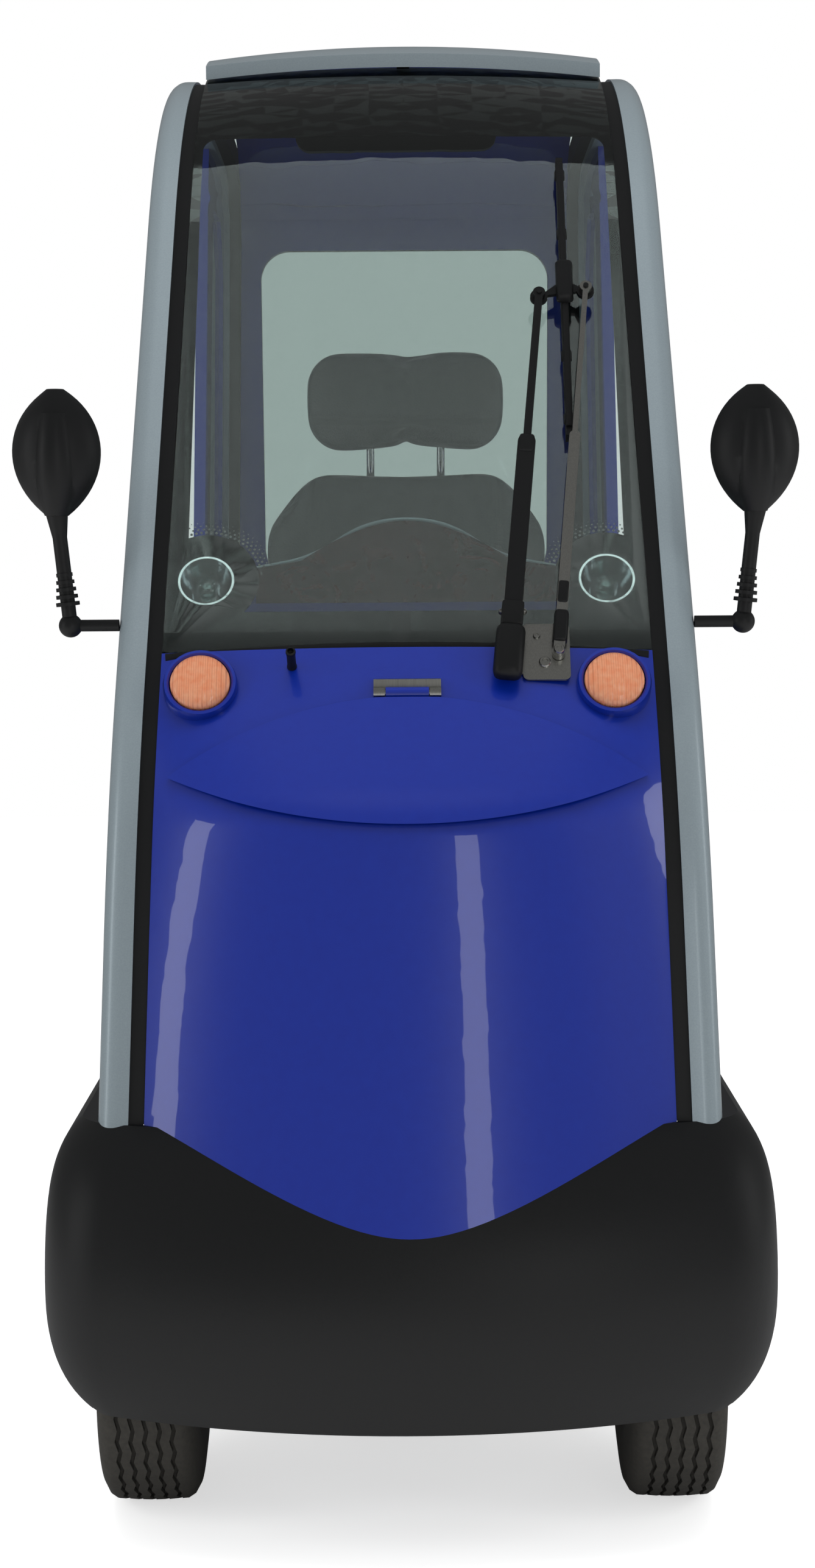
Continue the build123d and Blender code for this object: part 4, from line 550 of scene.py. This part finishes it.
class SCOOTER_OT_tyres(bpy.types.Operator):
    """Four tyres with a zigzag road tread, and the nuts and caps of their wheels."""

    bl_idname = "scooter.tyres"
    bl_label = "Tyres and wheel nuts"

    def execute(self, context):
        settings = context.scene.scooter_tyre
        first = self.tyre(settings)
        nuts = self.nuts()
        for place in ("front_left", "front_right", "rear_left", "rear_right"):
            low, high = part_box("tyre_" + place)
            middle = (Vector(low) + Vector(high)) / 2
            side = -1 if "left" in place else 1
            body = "wheel_" + place
            move = Matrix.Translation(middle)
            dress(twin(first, "tread_tyre_" + place, move), "tyre", body, ["tyre_" + place])
            face = Matrix.Translation(middle + Vector((side * 0.006, 0.0, 0.0))) @ Matrix.Rotation(math.pi * (side < 0), 4, "Z")
            dress(twin(nuts, "wheel_nuts_" + place, face), "zinc", body)
        for spare in (first, nuts):
            bpy.data.objects.remove(spare)
        return {"FINISHED"}

    def tyre(self, settings):
        """One tyre at the origin with its axle along X."""
        radius = settings.radius
        half = settings.width / 2
        groove = settings.groove_width / 2
        rings = [(0.0805, -0.046), (0.087, -0.050), (0.105, -half), (0.130, -half), (0.149, -0.0505), (0.159, -0.045)]
        rings.append((radius - 0.0018, -0.0385))
        for place in (-0.029, -0.0145, 0.0, 0.0145, 0.029):
            crown = radius - 0.0012 * abs(place / 0.029) ** 2
            rings += [(crown, place - groove), (crown, place + groove)]
        rings += [(ring_radius, -height) for ring_radius, height in reversed(rings[:7])]
        rings.append(rings[0])
        thing = turned("tyre", rings, (0, 0, 0), segments=settings.segments, closed=False)
        self.zigzag(thing, radius)
        self.cut_grooves(thing, radius, groove, settings.groove_depth)
        thing.rotation_euler = (0.0, FRONT, 0.0)
        return shade(settle(thing), 30.0)

    def zigzag(self, thing, radius):
        """Moves every other ring of tread corners sideways."""
        mesh = edit(thing)
        bpy.ops.mesh.select_mode(type="VERT")
        mesh = bmesh.from_edit_mesh(thing.data)
        step = 2 * math.pi / bpy.context.scene.scooter_tyre.segments
        for corner in mesh.verts:
            turn = math.atan2(corner.co.y, corner.co.x)
            odd = round(turn / step) % 2 == 1
            corner.select_set(odd and corner.co.xy.length > radius - 0.003 and abs(corner.co.z) < 0.034)
        mesh.select_flush_mode()
        bmesh.update_edit_mesh(thing.data)
        bpy.ops.transform.translate(value=(0.0, 0.0, 0.0032))
        bpy.ops.object.mode_set(mode="OBJECT")

    def cut_grooves(self, thing, radius, groove, depth):
        """Sinks the groove bands into the tread."""
        mesh = edit(thing)

        def in_groove(middle, normal):
            near = min(abs(middle.z - 0.0016 - place) for place in (-0.029, -0.0145, 0.0, 0.0145, 0.029))
            return middle.xy.length > radius - 0.004 and near < groove * 0.9

        pick_faces(thing, mesh, in_groove)
        bpy.ops.mesh.extrude_region_shrink_fatten(TRANSFORM_OT_shrink_fatten={"value": -depth})
        bpy.ops.object.mode_set(mode="OBJECT")

    def nuts(self):
        """Five wheel nuts round a domed cap, facing +X."""
        parts = []
        for number in range(5):
            turn = 2 * math.pi * number / 5
            place = (0.0, 0.036 * math.cos(turn), 0.036 * math.sin(turn))
            rings = [(0.0085, -0.002), (0.0085, 0.007), (0.0072, 0.009), (0.005, 0.0095), (0.005, 0.013), (0.002, 0.015)]
            parts.append(turned("nut", rings, place, (0.0, FRONT, turn), segments=6))
        rings = [(0.022, -0.002), (0.0225, 0.012), (0.021, 0.018), (0.017, 0.022), (0.009, 0.0245), (0.001, 0.025)]
        parts.append(turned("cap", rings, (0, 0, 0), (0.0, FRONT, 0.0), segments=24))
        return joined("wheel_nuts", parts)


class SCOOTER_OT_seat(bpy.types.Operator):
    """Upholstered cushion, back and headrest in pleated leather."""

    bl_idname = "scooter.seat"
    bl_label = "Seat upholstery"

    def execute(self, context):
        rows = [
            ("leather_cushion", "seat_cushion", 0.55, self.cushion_seams),
            ("leather_back", "seat_back", 0.5, self.back_pleats),
            ("leather_headrest", "headrest", 0.75, self.headrest_seam),
        ]
        for name, node, fill, finish_surface in rows:
            pad = self.pad(context, name, node)
            finish_surface(pad)
            dress(pad, "leather", "seat", [node])
        self.headrest_stalks()
        return {"FINISHED"}

    def pad(self, context, name, node):
        """A padded form inside a node: remeshed, blown up as cloth, held within its cap and subdivided."""
        settings = context.scene.scooter_seat
        low, high = [Vector(corner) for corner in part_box(node)]
        source = NODES[node]
        pad = source.copy()
        pad.data = source.data.copy()
        pad.name = name
        pad.modifiers.clear()
        context.scene.collection.objects.link(pad)
        edit(pad)
        bpy.ops.mesh.select_all(action="SELECT")
        bpy.ops.mesh.remove_doubles(threshold=0.00002)
        if node == "headrest":
            mesh = bmesh.from_edit_mesh(pad.data)
            pick_faces(pad, mesh, lambda middle, normal: middle.z < HEADREST_LOW_Z and abs(abs(middle.x) - 0.05) < 0.02)
            bpy.ops.mesh.delete(type="FACE")
            bpy.ops.mesh.select_all(action="SELECT")
            bpy.ops.mesh.delete_loose()
            bpy.ops.mesh.select_all(action="SELECT")
            bpy.ops.mesh.fill_holes(sides=0)
        bpy.ops.object.mode_set(mode="OBJECT")
        middle = (low + high) / 2
        pad.data.transform(Matrix.Translation(middle) @ Matrix.Diagonal((*settings.shrink, 1.0)) @ Matrix.Translation(-middle))
        remesh = pad.modifiers.new("remesh", "REMESH")
        remesh.mode = "VOXEL"
        remesh.voxel_size = settings.voxel
        settle(pad)
        rest = [corner.co.copy() for corner in pad.data.vertices]
        self.inflate(context, pad)
        for corner, start in zip(pad.data.vertices, rest):
            shift = corner.co - start
            if shift.length > settings.cap:
                corner.co = start + shift * (settings.cap / shift.length)
        smooth = pad.modifiers.new("smooth", "SMOOTH")
        smooth.factor = 0.5
        smooth.iterations = 4
        rounding = pad.modifiers.new("rounding", "SUBSURF")
        rounding.levels = 1
        rounding.render_levels = 1
        settle(pad)
        return shade(pad, 80.0)

    def inflate(self, context, pad):
        """Blows the form up from inside as cloth."""
        cloth = pad.modifiers.new("cloth", "CLOTH")
        cloth.settings.use_pressure = True
        cloth.settings.uniform_pressure_force = context.scene.scooter_seat.pressure
        cloth.settings.effector_weights.gravity = 0.0
        for number in range(1, 21):
            context.scene.frame_set(number)
        settle(pad)
        context.scene.frame_set(1)

    def press(self, pad, depth_at, axis):
        """Moves the surface that faces an axis inwards by a depth for each place."""
        for corner in pad.data.vertices:
            facing = corner.normal[axis[0]] * axis[1]
            if facing > 0.15:
                corner.co[axis[0]] -= axis[1] * depth_at(corner.co) * min(1.0, facing * 1.6)
        pad.data.update()

    def back_pleats(self, pad):
        """Gathered pleats that fan down from the shoulders, and a seam along each bolster."""
        low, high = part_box("seat_back")

        def depth_at(place):
            down = (high[2] - place.z) / (high[2] - low[2])
            spread = place.x / (1.0 + 0.55 * min(down, 0.35))
            wave = 0.0
            for line, width, deep in PLEATS:
                for hand in (-1, 1):
                    gap = (spread - hand * line - 0.012 * math.sin(14 * down + line * 40)) / width
                    wave += deep * math.exp(-gap * gap)
            fade = min(1.0, down / 0.04) * max(0.25, 1.0 - 1.6 * down)
            seam = 0.004 * math.exp(-(((abs(place.x) - 0.128) / 0.004) ** 2))
            return wave * fade + seam

        self.press(pad, depth_at, (1, -1.0))

    def cushion_seams(self, pad):
        """Two sewn channels along the cushion and a seam round its bolsters."""

        def depth_at(place):
            lines = (-0.13, -0.045, 0.045, 0.13)
            near = min(abs(place.x - line) for line in lines)
            return 0.006 * math.exp(-((near / 0.006) ** 2)) + 0.002 * math.exp(-((near / 0.02) ** 2))

        self.press(pad, depth_at, (2, 1.0))

    def headrest_seam(self, pad):
        """A piped seam across the lower part of the headrest."""
        low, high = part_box("headrest")
        line = low[2] + 0.36 * (high[2] - low[2])

        def depth_at(place):
            bow = line + 0.25 * place.x * place.x
            return 0.0035 * math.exp(-(((place.z - bow) / 0.005) ** 2))

        self.press(pad, depth_at, (1, -1.0))

    def headrest_stalks(self):
        """Two chromed stalks between the back and the headrest."""
        low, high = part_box("headrest")
        parts = []
        for x in (-0.05, 0.05):
            rings = [(0.005, -0.03), (0.0055, -0.029), (0.0055, 0.05), (0.005, 0.051)]
            parts.append(turned("stalk", rings, (x, 0.335, low[2] + 0.005), segments=16))
        dress(joined("headrest_stalks", parts), "lamp_chrome", "seat")


class SCOOTER_OT_wiper(bpy.types.Operator):
    """Caps, clevises, screws and the blade's bridge of the parallel wiper."""

    bl_idname = "scooter.wiper"
    bl_label = "Wiper fittings"

    def execute(self, context):
        arm_turn = Matrix.Rotation(SCREEN_TURN[0], 4, "X") @ Matrix.Rotation(-WIPER_LEAN, 4, "Z")
        lean = arm_turn.to_euler()
        foot = Vector(WIPER_FOOT)
        along = Vector((math.sin(WIPER_LEAN), math.cos(WIPER_LEAN)))

        def beside(start, length, out):
            spot = Vector(start) + along * length
            return on_screen(spot.x, spot.y, out)

        cap = block("cap", (0.034, 0.070, 0.020), beside(foot, 0.006, 0.031), 0.009, lean, (0.86, 0.9))
        clevis = block("clevis", (0.024, 0.030, 0.013), beside(foot, 0.052, 0.029), 0.003, lean)
        ferrule = block("ferrule", (0.020, 0.024, 0.014), beside(foot, 0.272, 0.024), 0.003, lean, (0.8, 0.95))
        dress(joined("wiper_arm_cap", [cap, clevis, ferrule]), "black_plastic", "wiper_arm")
        pins = []
        for offset in (-0.0125, 0.0125):
            spot = foot + along * 0.055 + Vector((offset, 0.0))
            pins.append(self.screw(on_screen(spot.x, spot.y, 0.030), 0.0028))
        dress(joined("wiper_arm_pins", pins), "zinc", "wiper_arm")
        link = Vector(LINK_FOOT)
        jaw = block("jaw", (0.017, 0.040, 0.012), beside(link, 0.030, 0.026), 0.003, lean, (0.8, 0.95))
        socket = block("socket", (0.012, 0.028, 0.011), beside(link, 0.072, 0.025), 0.003, lean)
        dress(joined("wiper_link_jaw", [jaw, socket]), "black_plastic", "wiper_link")
        dress(self.screw(on_screen(link.x, link.y, 0.031), 0.006), "zinc", "wiper_link")
        base = [self.screw(on_screen(0.148, -0.010, 0.018), 0.0065), self.screw(on_screen(0.140, 0.022, 0.018), 0.004)]
        dress(joined("wiper_base_screws", base), "zinc", "root")
        self.blade()
        return {"FINISHED"}

    def screw(self, place, radius):
        """A domed screw head with a socket, facing out of the screen."""
        rings = [(radius, -0.003), (radius, 0.0005), (radius * 0.85, 0.0018), (radius * 0.5, 0.0022)]
        rings += [(radius * 0.45, 0.0008), (radius * 0.1, 0.0006)]
        return turned("screw_head", rings, place, SCREEN_TURN, segments=16)

    def blade(self):
        """Bridge over the rubber: a long spine, three claws and the yoke's cover."""
        low, high = BLADE_SPAN
        spine = block("spine", (0.008, high - low - 0.02, 0.005), on_screen(BLADE_X, (low + high) / 2, 0.014), 0.0018, SCREEN_TURN)
        parts = [spine]
        for share in (0.06, 0.28, 0.5, 0.72, 0.94):
            spot = on_screen(BLADE_X, low + share * (high - low), 0.010)
            parts.append(block("claw", (0.013, 0.016, 0.009), spot, 0.002, SCREEN_TURN, (0.7, 0.6)))
        parts.append(block("cover", (0.022, 0.060, 0.012), on_screen(BLADE_X, BLADE_YOKE, 0.0205), 0.004, SCREEN_TURN, (0.7, 0.85)))
        dress(joined("wiper_blade_bridge", parts), "black_plastic", "wiper_blade")


class SCOOTER_OT_lamps(bpy.types.Operator):
    """Bulbs and rings of the headlamps, domed lenses of the turn lamps."""

    bl_idname = "scooter.lamps"
    bl_label = "Lamps"

    def execute(self, context):
        bulbs, rings, lenses, seats = [], [], [], []
        for side in (-1, 1):
            lamp = on_screen(side * LAMP_X, LAMP_S, 0.0)
            profile = [(0.008, -0.052), (0.0085, -0.036), (0.0095, -0.030), (0.0095, -0.024), (0.006, -0.018), (0.001, -0.016)]
            bulbs.append(turned("bulb", profile, lamp, SCREEN_TURN, segments=20))
            profile = [(0.031, -0.0115), (0.0325, -0.0115), (0.0325, -0.0095), (0.0285, -0.0095), (0.0265, -0.0165), (0.0285, -0.0165)]
            rings.append(turned("ring", profile + [profile[0]], lamp, SCREEN_TURN, segments=40, closed=False))
            turn_lamp = on_screen(side * TURN_X, TURN_S, 0.0)
            profile = [(0.0322, 0.0), (0.0322, 0.0185), (0.031, 0.0215), (0.027, 0.0245), (0.019, 0.0268), (0.009, 0.0279), (0.001, 0.0282)]
            lenses.append(turned("lens", profile, turn_lamp, SCREEN_TURN, segments=40))
            profile = [(0.033, 0.0), (0.0335, 0.0175), (0.0355, 0.0195), (0.0385, 0.019), (0.0400, 0.0145), (0.0405, 0.0)]
            seats.append(turned("seat", profile + [profile[0]], turn_lamp, SCREEN_TURN, segments=40, closed=False))
        dress(joined("headlamp_bulbs", bulbs), "glass", "root")
        dress(joined("headlamp_rings", rings), "lamp_chrome", "root")
        dress(joined("turn_lamp_lenses", lenses), "amber_lens", "root", ["turn_lamps"])
        dress(joined("turn_lamp_seats", seats), "blue_paint", "root")
        return {"FINISHED"}


class SCOOTER_OT_nose_trim(bpy.types.Operator):
    """Rubber strip under the windscreen and a rubber peg."""

    bl_idname = "scooter.nose_trim"
    bl_label = "Nose trim"

    def execute(self, context):
        profile = [(0.0045, 0.0), (0.0055, 0.006), (0.0048, 0.010), (0.0048, 0.034), (0.0055, 0.037), (0.0052, 0.040), (0.0035, 0.041)]
        profile += [(0.003, 0.036), (0.001, 0.035)]
        peg = turned("rubber_peg", profile, on_screen(PEG_X, PEG_S, 0.006), SCREEN_TURN, segments=20)
        dress(peg, "black_rubber", "root")
        self.strip(context)
        return {"FINISHED"}

    def strip(self, context):
        """The strip that closes the gap between glass and nose, swept along one curve."""
        curve = bpy.data.curves.new("screen_strip", "CURVE")
        curve.dimensions = "3D"
        spline = curve.splines.new("NURBS")
        spline.points.add(len(STRIP_LINE) - 1)
        for point, (x, up) in zip(spline.points, STRIP_LINE):
            point.co = (*on_screen(x, up, STRIP_OUT), 1.0)
        spline.order_u = 3
        spline.use_endpoint_u = True
        curve.resolution_u = 16
        curve.bevel_depth = 0.0055
        curve.bevel_resolution = 3
        curve.use_fill_caps = True
        thing = bpy.data.objects.new("screen_strip", curve)
        context.scene.collection.objects.link(thing)
        deselect()
        thing.select_set(True)
        context.view_layer.objects.active = thing
        bpy.ops.object.convert(target="MESH")
        dress(shade(context.object, 60.0), "black_rubber", "root")


class SCOOTER_OT_frit_dots(bpy.types.Operator):
    """Dots that fade the black print out over the headlamps."""

    bl_idname = "scooter.frit_dots"
    bl_label = "Frit dots"

    def execute(self, context):
        dot = turned("dot", [(0.0016, -0.0004), (0.0016, 0.0)], (0, 0, 0), segments=6)
        gathered = bmesh.new()
        for side in (-1, 1):
            for row in range(4):
                reach = LOBE_RADIUS + 0.0035 + row * 0.0042
                for step in range(30):
                    turn = math.radians(8.0 + 5.2 * (step + 0.5 * (row % 2)))
                    x = side * LAMP_X + reach * math.cos(turn)
                    up = LAMP_S + reach * math.sin(turn)
                    if abs(x) > CLEAR_HALF_X or up < FRIT_LOW:
                        continue
                    size = Matrix.Scale(1.0 - 0.2 * row, 4)
                    place = Matrix.Translation(on_screen(x, up, FRIT_OUT)) @ Matrix.Rotation(SCREEN_TURN[0], 4, "X") @ size
                    copy = dot.data.copy()
                    copy.transform(place)
                    gathered.from_mesh(copy)
                    bpy.data.meshes.remove(copy)
        gathered.to_mesh(dot.data)
        gathered.free()
        dot.name = "frit_dots"
        dress(dot, "black_print", "root")
        return {"FINISHED"}


class SCOOTER_OT_dash_highlight(bpy.types.Operator):
    """Silver strip along the top of the wooden dash, which paints the highlight on its edge."""

    bl_idname = "scooter.dash_trim"
    bl_label = "Dash painted highlight"

    def execute(self, context):
        curve = bpy.data.curves.new("dash_painted_highlight", "CURVE")
        curve.dimensions = "3D"
        spline = curve.splines.new("NURBS")
        spline.points.add(len(DASH_HIGHLIGHT_LINE) - 1)
        for point, (x, z) in zip(spline.points, DASH_HIGHLIGHT_LINE):
            point.co = (x, DASH_HIGHLIGHT_Y, z, 1.0)
        spline.order_u = 3
        spline.use_endpoint_u = True
        curve.resolution_u = 12
        curve.bevel_depth = 0.003
        curve.bevel_resolution = 3
        curve.use_fill_caps = True
        thing = bpy.data.objects.new("dash_painted_highlight", curve)
        context.scene.collection.objects.link(thing)
        deselect()
        thing.select_set(True)
        context.view_layer.objects.active = thing
        bpy.ops.object.convert(target="MESH")
        # the silver paint on this strip is a painted highlight along the dash's top edge
        dress(shade(context.object, 60.0), "silver_paint", "root")
        return {"FINISHED"}


class SCOOTER_OT_controls(bpy.types.Operator):
    """Ribbed grips, thumb lever, dial and key on the tiller's head."""

    bl_idname = "scooter.controls"
    bl_label = "Tiller controls"

    def execute(self, context):
        low, high = [Vector(corner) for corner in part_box("handlebar")]
        middle = (low + high) / 2
        grips = []
        for side in (-1, 1):
            rings = [(0.012, 0.0), (0.0165, 0.001), (0.0165, 0.004)]
            for rib in range(9):
                start = 0.008 + rib * 0.0105
                rings += [(0.0145, start), (0.0155, start + 0.002), (0.0155, start + 0.006), (0.0145, start + 0.008)]
            rings += [(0.0165, 0.104), (0.0165, 0.108), (0.012, 0.110)]
            place = (side * 0.070, middle.y, middle.z)
            grips.append(turned("grip", rings, place, (0.0, side * FRONT, 0.0), segments=24))
        dress(joined("handle_grips", grips), "black_rubber", "steering")
        lever = block("lever", (0.075, 0.014, 0.007), (0.105, middle.y - 0.030, middle.z + 0.004), 0.003, (0.0, 0.0, 0.25))
        knob = turned("knob", [(0.013, 0.0), (0.0135, 0.007), (0.0115, 0.010), (0.001, 0.0105)], (0.03, middle.y, high.z - 0.002))
        key = turned("key", [(0.007, 0.0), (0.007, 0.006), (0.004, 0.007), (0.004, 0.02), (0.001, 0.021)], (-0.035, middle.y, high.z - 0.002))
        dress(joined("tiller_switches", [lever, knob, key]), "black_plastic", "steering")
        return {"FINISHED"}


class SCOOTER_OT_floor_ribs(bpy.types.Operator):
    """Ribs of the rubber floor mat."""

    bl_idname = "scooter.floor_ribs"
    bl_label = "Mat ribs"

    def execute(self, context):
        low, high = [Vector(corner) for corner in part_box("floor_mat")]
        ribs = []
        for number in range(14):
            y = low.y + 0.068 + number * 0.0145
            if y > high.y - 0.02:
                break
            ribs.append(block("rib", (high.x - low.x - 0.05, 0.006, 0.003), (0.0, y, high.z + 0.0012), 0.0012))
        dress(joined("mat_ribs", ribs), "black_rubber", "root")
        return {"FINISHED"}


class SCOOTER_OT_mirror_glass(bpy.types.Operator):
    """Silvered faces of the two side mirrors and of the inside mirror."""

    bl_idname = "scooter.mirror_glass"
    bl_label = "Mirror glass"

    def execute(self, context):
        faces = []
        for side in (-1, 1):
            rings = [(0.040, 0.0), (0.041, 0.0012), (0.040, 0.0022), (0.034, 0.0026)]
            plate = turned("plate", rings, (0, 0, 0), segments=32)
            plate.scale = (1.0, 1.42, 1.0)
            settle(plate)
            plate.rotation_euler = (-FRONT, 0.0, 0.0)
            plate.location = (side * 0.381, -0.5285, 1.158)
            faces.append(settle(plate))
        low, high = [Vector(corner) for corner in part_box("cabin_mirror")]
        faces.append(block("plate", (0.243, 0.003, 0.052), ((low.x + high.x) / 2, high.y + 0.0008, CABIN_MIRROR_Z), 0.001))
        dress(joined("mirror_faces", faces), "lamp_chrome", "root")
        return {"FINISHED"}


class SCOOTER_OT_stage(bpy.types.Operator):
    """Adds the pale floor, the studio light and the camera of the photograph."""

    bl_idname = "scooter.stage"
    bl_label = "Stage and camera"

    def execute(self, context):
        settings = context.scene.scooter_stage
        deselect()
        bpy.ops.mesh.primitive_plane_add(size=settings.floor_width, location=(0, 0, 0))
        floor = context.object
        floor.name = "studio_floor"
        floor.data.materials.append(self.floor_paper())
        self.world(context, settings.world_level)
        self.lamps(settings.key_power)
        self.camera(context)
        return {"FINISHED"}

    def floor_paper(self):
        """Matte white paper sweep, which the camera sees as white where no shadow falls."""
        material, shader = new_material("studio_paper", Roughness=0.9)
        shader.inputs["Base Color"].default_value = linear("#f4f4f4")
        shader.inputs["Emission Color"].default_value = (1.0, 1.0, 1.0, 1.0)
        path = add_node(material, "ShaderNodeLightPath")
        inputs = {"Value": path.outputs["Is Camera Ray"], "To Min": 0.0, "To Max": FLOOR_GLOW}
        glow = add_node(material, "ShaderNodeMapRange", inputs)
        material.node_tree.links.new(glow.outputs["Result"], shader.inputs["Emission Strength"])
        return material

    def world(self, context, level):
        """White studio to the eye and through glass, a plain light on the object, and a dim room in gloss."""
        world = bpy.data.worlds.new("studio")
        context.scene.world = world
        world.use_nodes = True
        light = world.node_tree.nodes["Background"]
        light.inputs["Color"].default_value = (1.0, 1.0, 1.0, 1.0)
        path = add_node(world, "ShaderNodeLightPath")
        unmirrored = add_node(world, "ShaderNodeMath", {0: path.outputs["Glossy Depth"], 1: 0.5}, operation="LESS_THAN")
        through = {0: path.outputs["Is Transmission Ray"], 1: unmirrored.outputs[0]}
        clear = add_node(world, "ShaderNodeMath", through, operation="MULTIPLY")
        straight = {0: path.outputs["Is Camera Ray"], 1: clear.outputs[0]}
        seen = add_node(world, "ShaderNodeMath", straight, operation="MAXIMUM")
        gloss = {"Value": unmirrored.outputs[0], "To Min": level * GLOSS_SHARE, "To Max": level}
        plain = add_node(world, "ShaderNodeMapRange", gloss)
        strength = add_node(world, "ShaderNodeMapRange", {"Value": seen.outputs[0], "To Max": 1.0})
        world.node_tree.links.new(plain.outputs["Result"], strength.inputs["To Min"])
        world.node_tree.links.new(strength.outputs["Result"], light.inputs["Strength"])

    def lamps(self, power):
        """Soft rectangular lamps: name, place, aim, width, height, power's share and whether gloss mirrors them."""
        rows = [
            ("softbox_top", (0.0, -1.2, 4.0), (0.0, 0.0, 0.8), 3.0, 2.0, 1.0, False),
            ("softbox_left", (-3.6, -2.2, 2.0), (0.0, -0.2, 0.8), 0.9, 2.6, 0.6, False),
            ("softbox_right", (3.6, -2.2, 2.0), (0.0, -0.2, 0.8), 0.9, 2.6, 0.6, False),
            ("strip_left", (-3.4, -1.6, 1.3), (0.0, -0.6, 0.8), 0.5, 1.8, 0.10, True),
            ("strip_right", (3.4, -0.6, 1.4), (0.0, -0.4, 0.9), 0.4, 1.8, 0.08, True),
            ("strip_front", (1.25, -4.2, 1.2), (0.0, -0.6, 0.9), 0.5, 1.7, 0.09, True),
        ]
        for name, place, aim, width, height, share, mirrored in rows:
            data = bpy.data.lights.new(name, "AREA")
            data.shape = "RECTANGLE"
            data.size = width
            data.size_y = height
            data.energy = power * share
            lamp = bpy.data.objects.new(name, data)
            bpy.context.scene.collection.objects.link(lamp)
            lamp.location = place
            lamp.rotation_euler = (Vector(aim) - Vector(place)).to_track_quat("-Z", "Y").to_euler()
            lamp.visible_glossy = mirrored

    def camera(self, context):
        """Camera at the photograph's viewing angle."""
        data = bpy.data.cameras.new("photo_camera")
        data.sensor_fit = "VERTICAL"
        data.sensor_height = CAMERA_SENSOR_MM
        data.lens = CAMERA_LENS_MM
        camera = bpy.data.objects.new("photo_camera", data)
        context.scene.collection.objects.link(camera)
        turn = Matrix.Rotation(FRONT + math.radians(CAMERA_PITCH), 4, "X")
        camera.matrix_world = Matrix.Translation(CAMERA_PLACE) @ turn @ Matrix.Rotation(math.radians(CAMERA_ROLL), 4, "Z")
        context.scene.camera = camera


class SCOOTER_PT_sidebar(bpy.types.Panel):
    """Lists the pieces of the scooter."""

    bl_idname = "SCOOTER_PT_sidebar"
    bl_label = "Cabin Scooter"
    bl_space_type = "VIEW_3D"
    bl_region_type = "UI"
    bl_category = "Cabin Scooter"

    def draw(self, context):
        for operator in OPERATORS:
            self.layout.operator(operator.bl_idname)


OPERATORS = [
    SCOOTER_OT_node_finishes,
    SCOOTER_OT_tyres,
    SCOOTER_OT_seat,
    SCOOTER_OT_wiper,
    SCOOTER_OT_lamps,
    SCOOTER_OT_nose_trim,
    SCOOTER_OT_frit_dots,
    SCOOTER_OT_dash_highlight,
    SCOOTER_OT_controls,
    SCOOTER_OT_floor_ribs,
    SCOOTER_OT_mirror_glass,
    SCOOTER_OT_stage,
]
SETTINGS = {
    "scooter_stage": ScooterStageSettings,
    "scooter_tyre": ScooterTyreSettings,
    "scooter_seat": ScooterSeatSettings,
}


def register():
    """Registers the settings, the operators and the panel."""
    for name, group in SETTINGS.items():
        bpy.utils.register_class(group)
        setattr(bpy.types.Scene, name, bpy.props.PointerProperty(type=group))
    for operator in OPERATORS:
        bpy.utils.register_class(operator)
    bpy.utils.register_class(SCOOTER_PT_sidebar)


def unregister():
    """Removes what register added."""
    bpy.utils.unregister_class(SCOOTER_PT_sidebar)
    for operator in reversed(OPERATORS):
        bpy.utils.unregister_class(operator)
    for name, group in SETTINGS.items():
        delattr(bpy.types.Scene, name)
        bpy.utils.unregister_class(group)


def main():
    """Builds every piece in order."""
    register()
    deselect()
    bpy.context.scene.view_settings.view_transform = "Standard"
    bpy.ops.scooter.node_finishes()
    bpy.ops.scooter.tyres()
    bpy.ops.scooter.seat()
    bpy.ops.scooter.wiper()
    bpy.ops.scooter.lamps()
    bpy.ops.scooter.nose_trim()
    bpy.ops.scooter.frit_dots()
    bpy.ops.scooter.dash_trim()
    bpy.ops.scooter.controls()
    bpy.ops.scooter.floor_ribs()
    bpy.ops.scooter.mirror_glass()
    bpy.ops.scooter.stage()


if __name__ == "__main__":
    main()
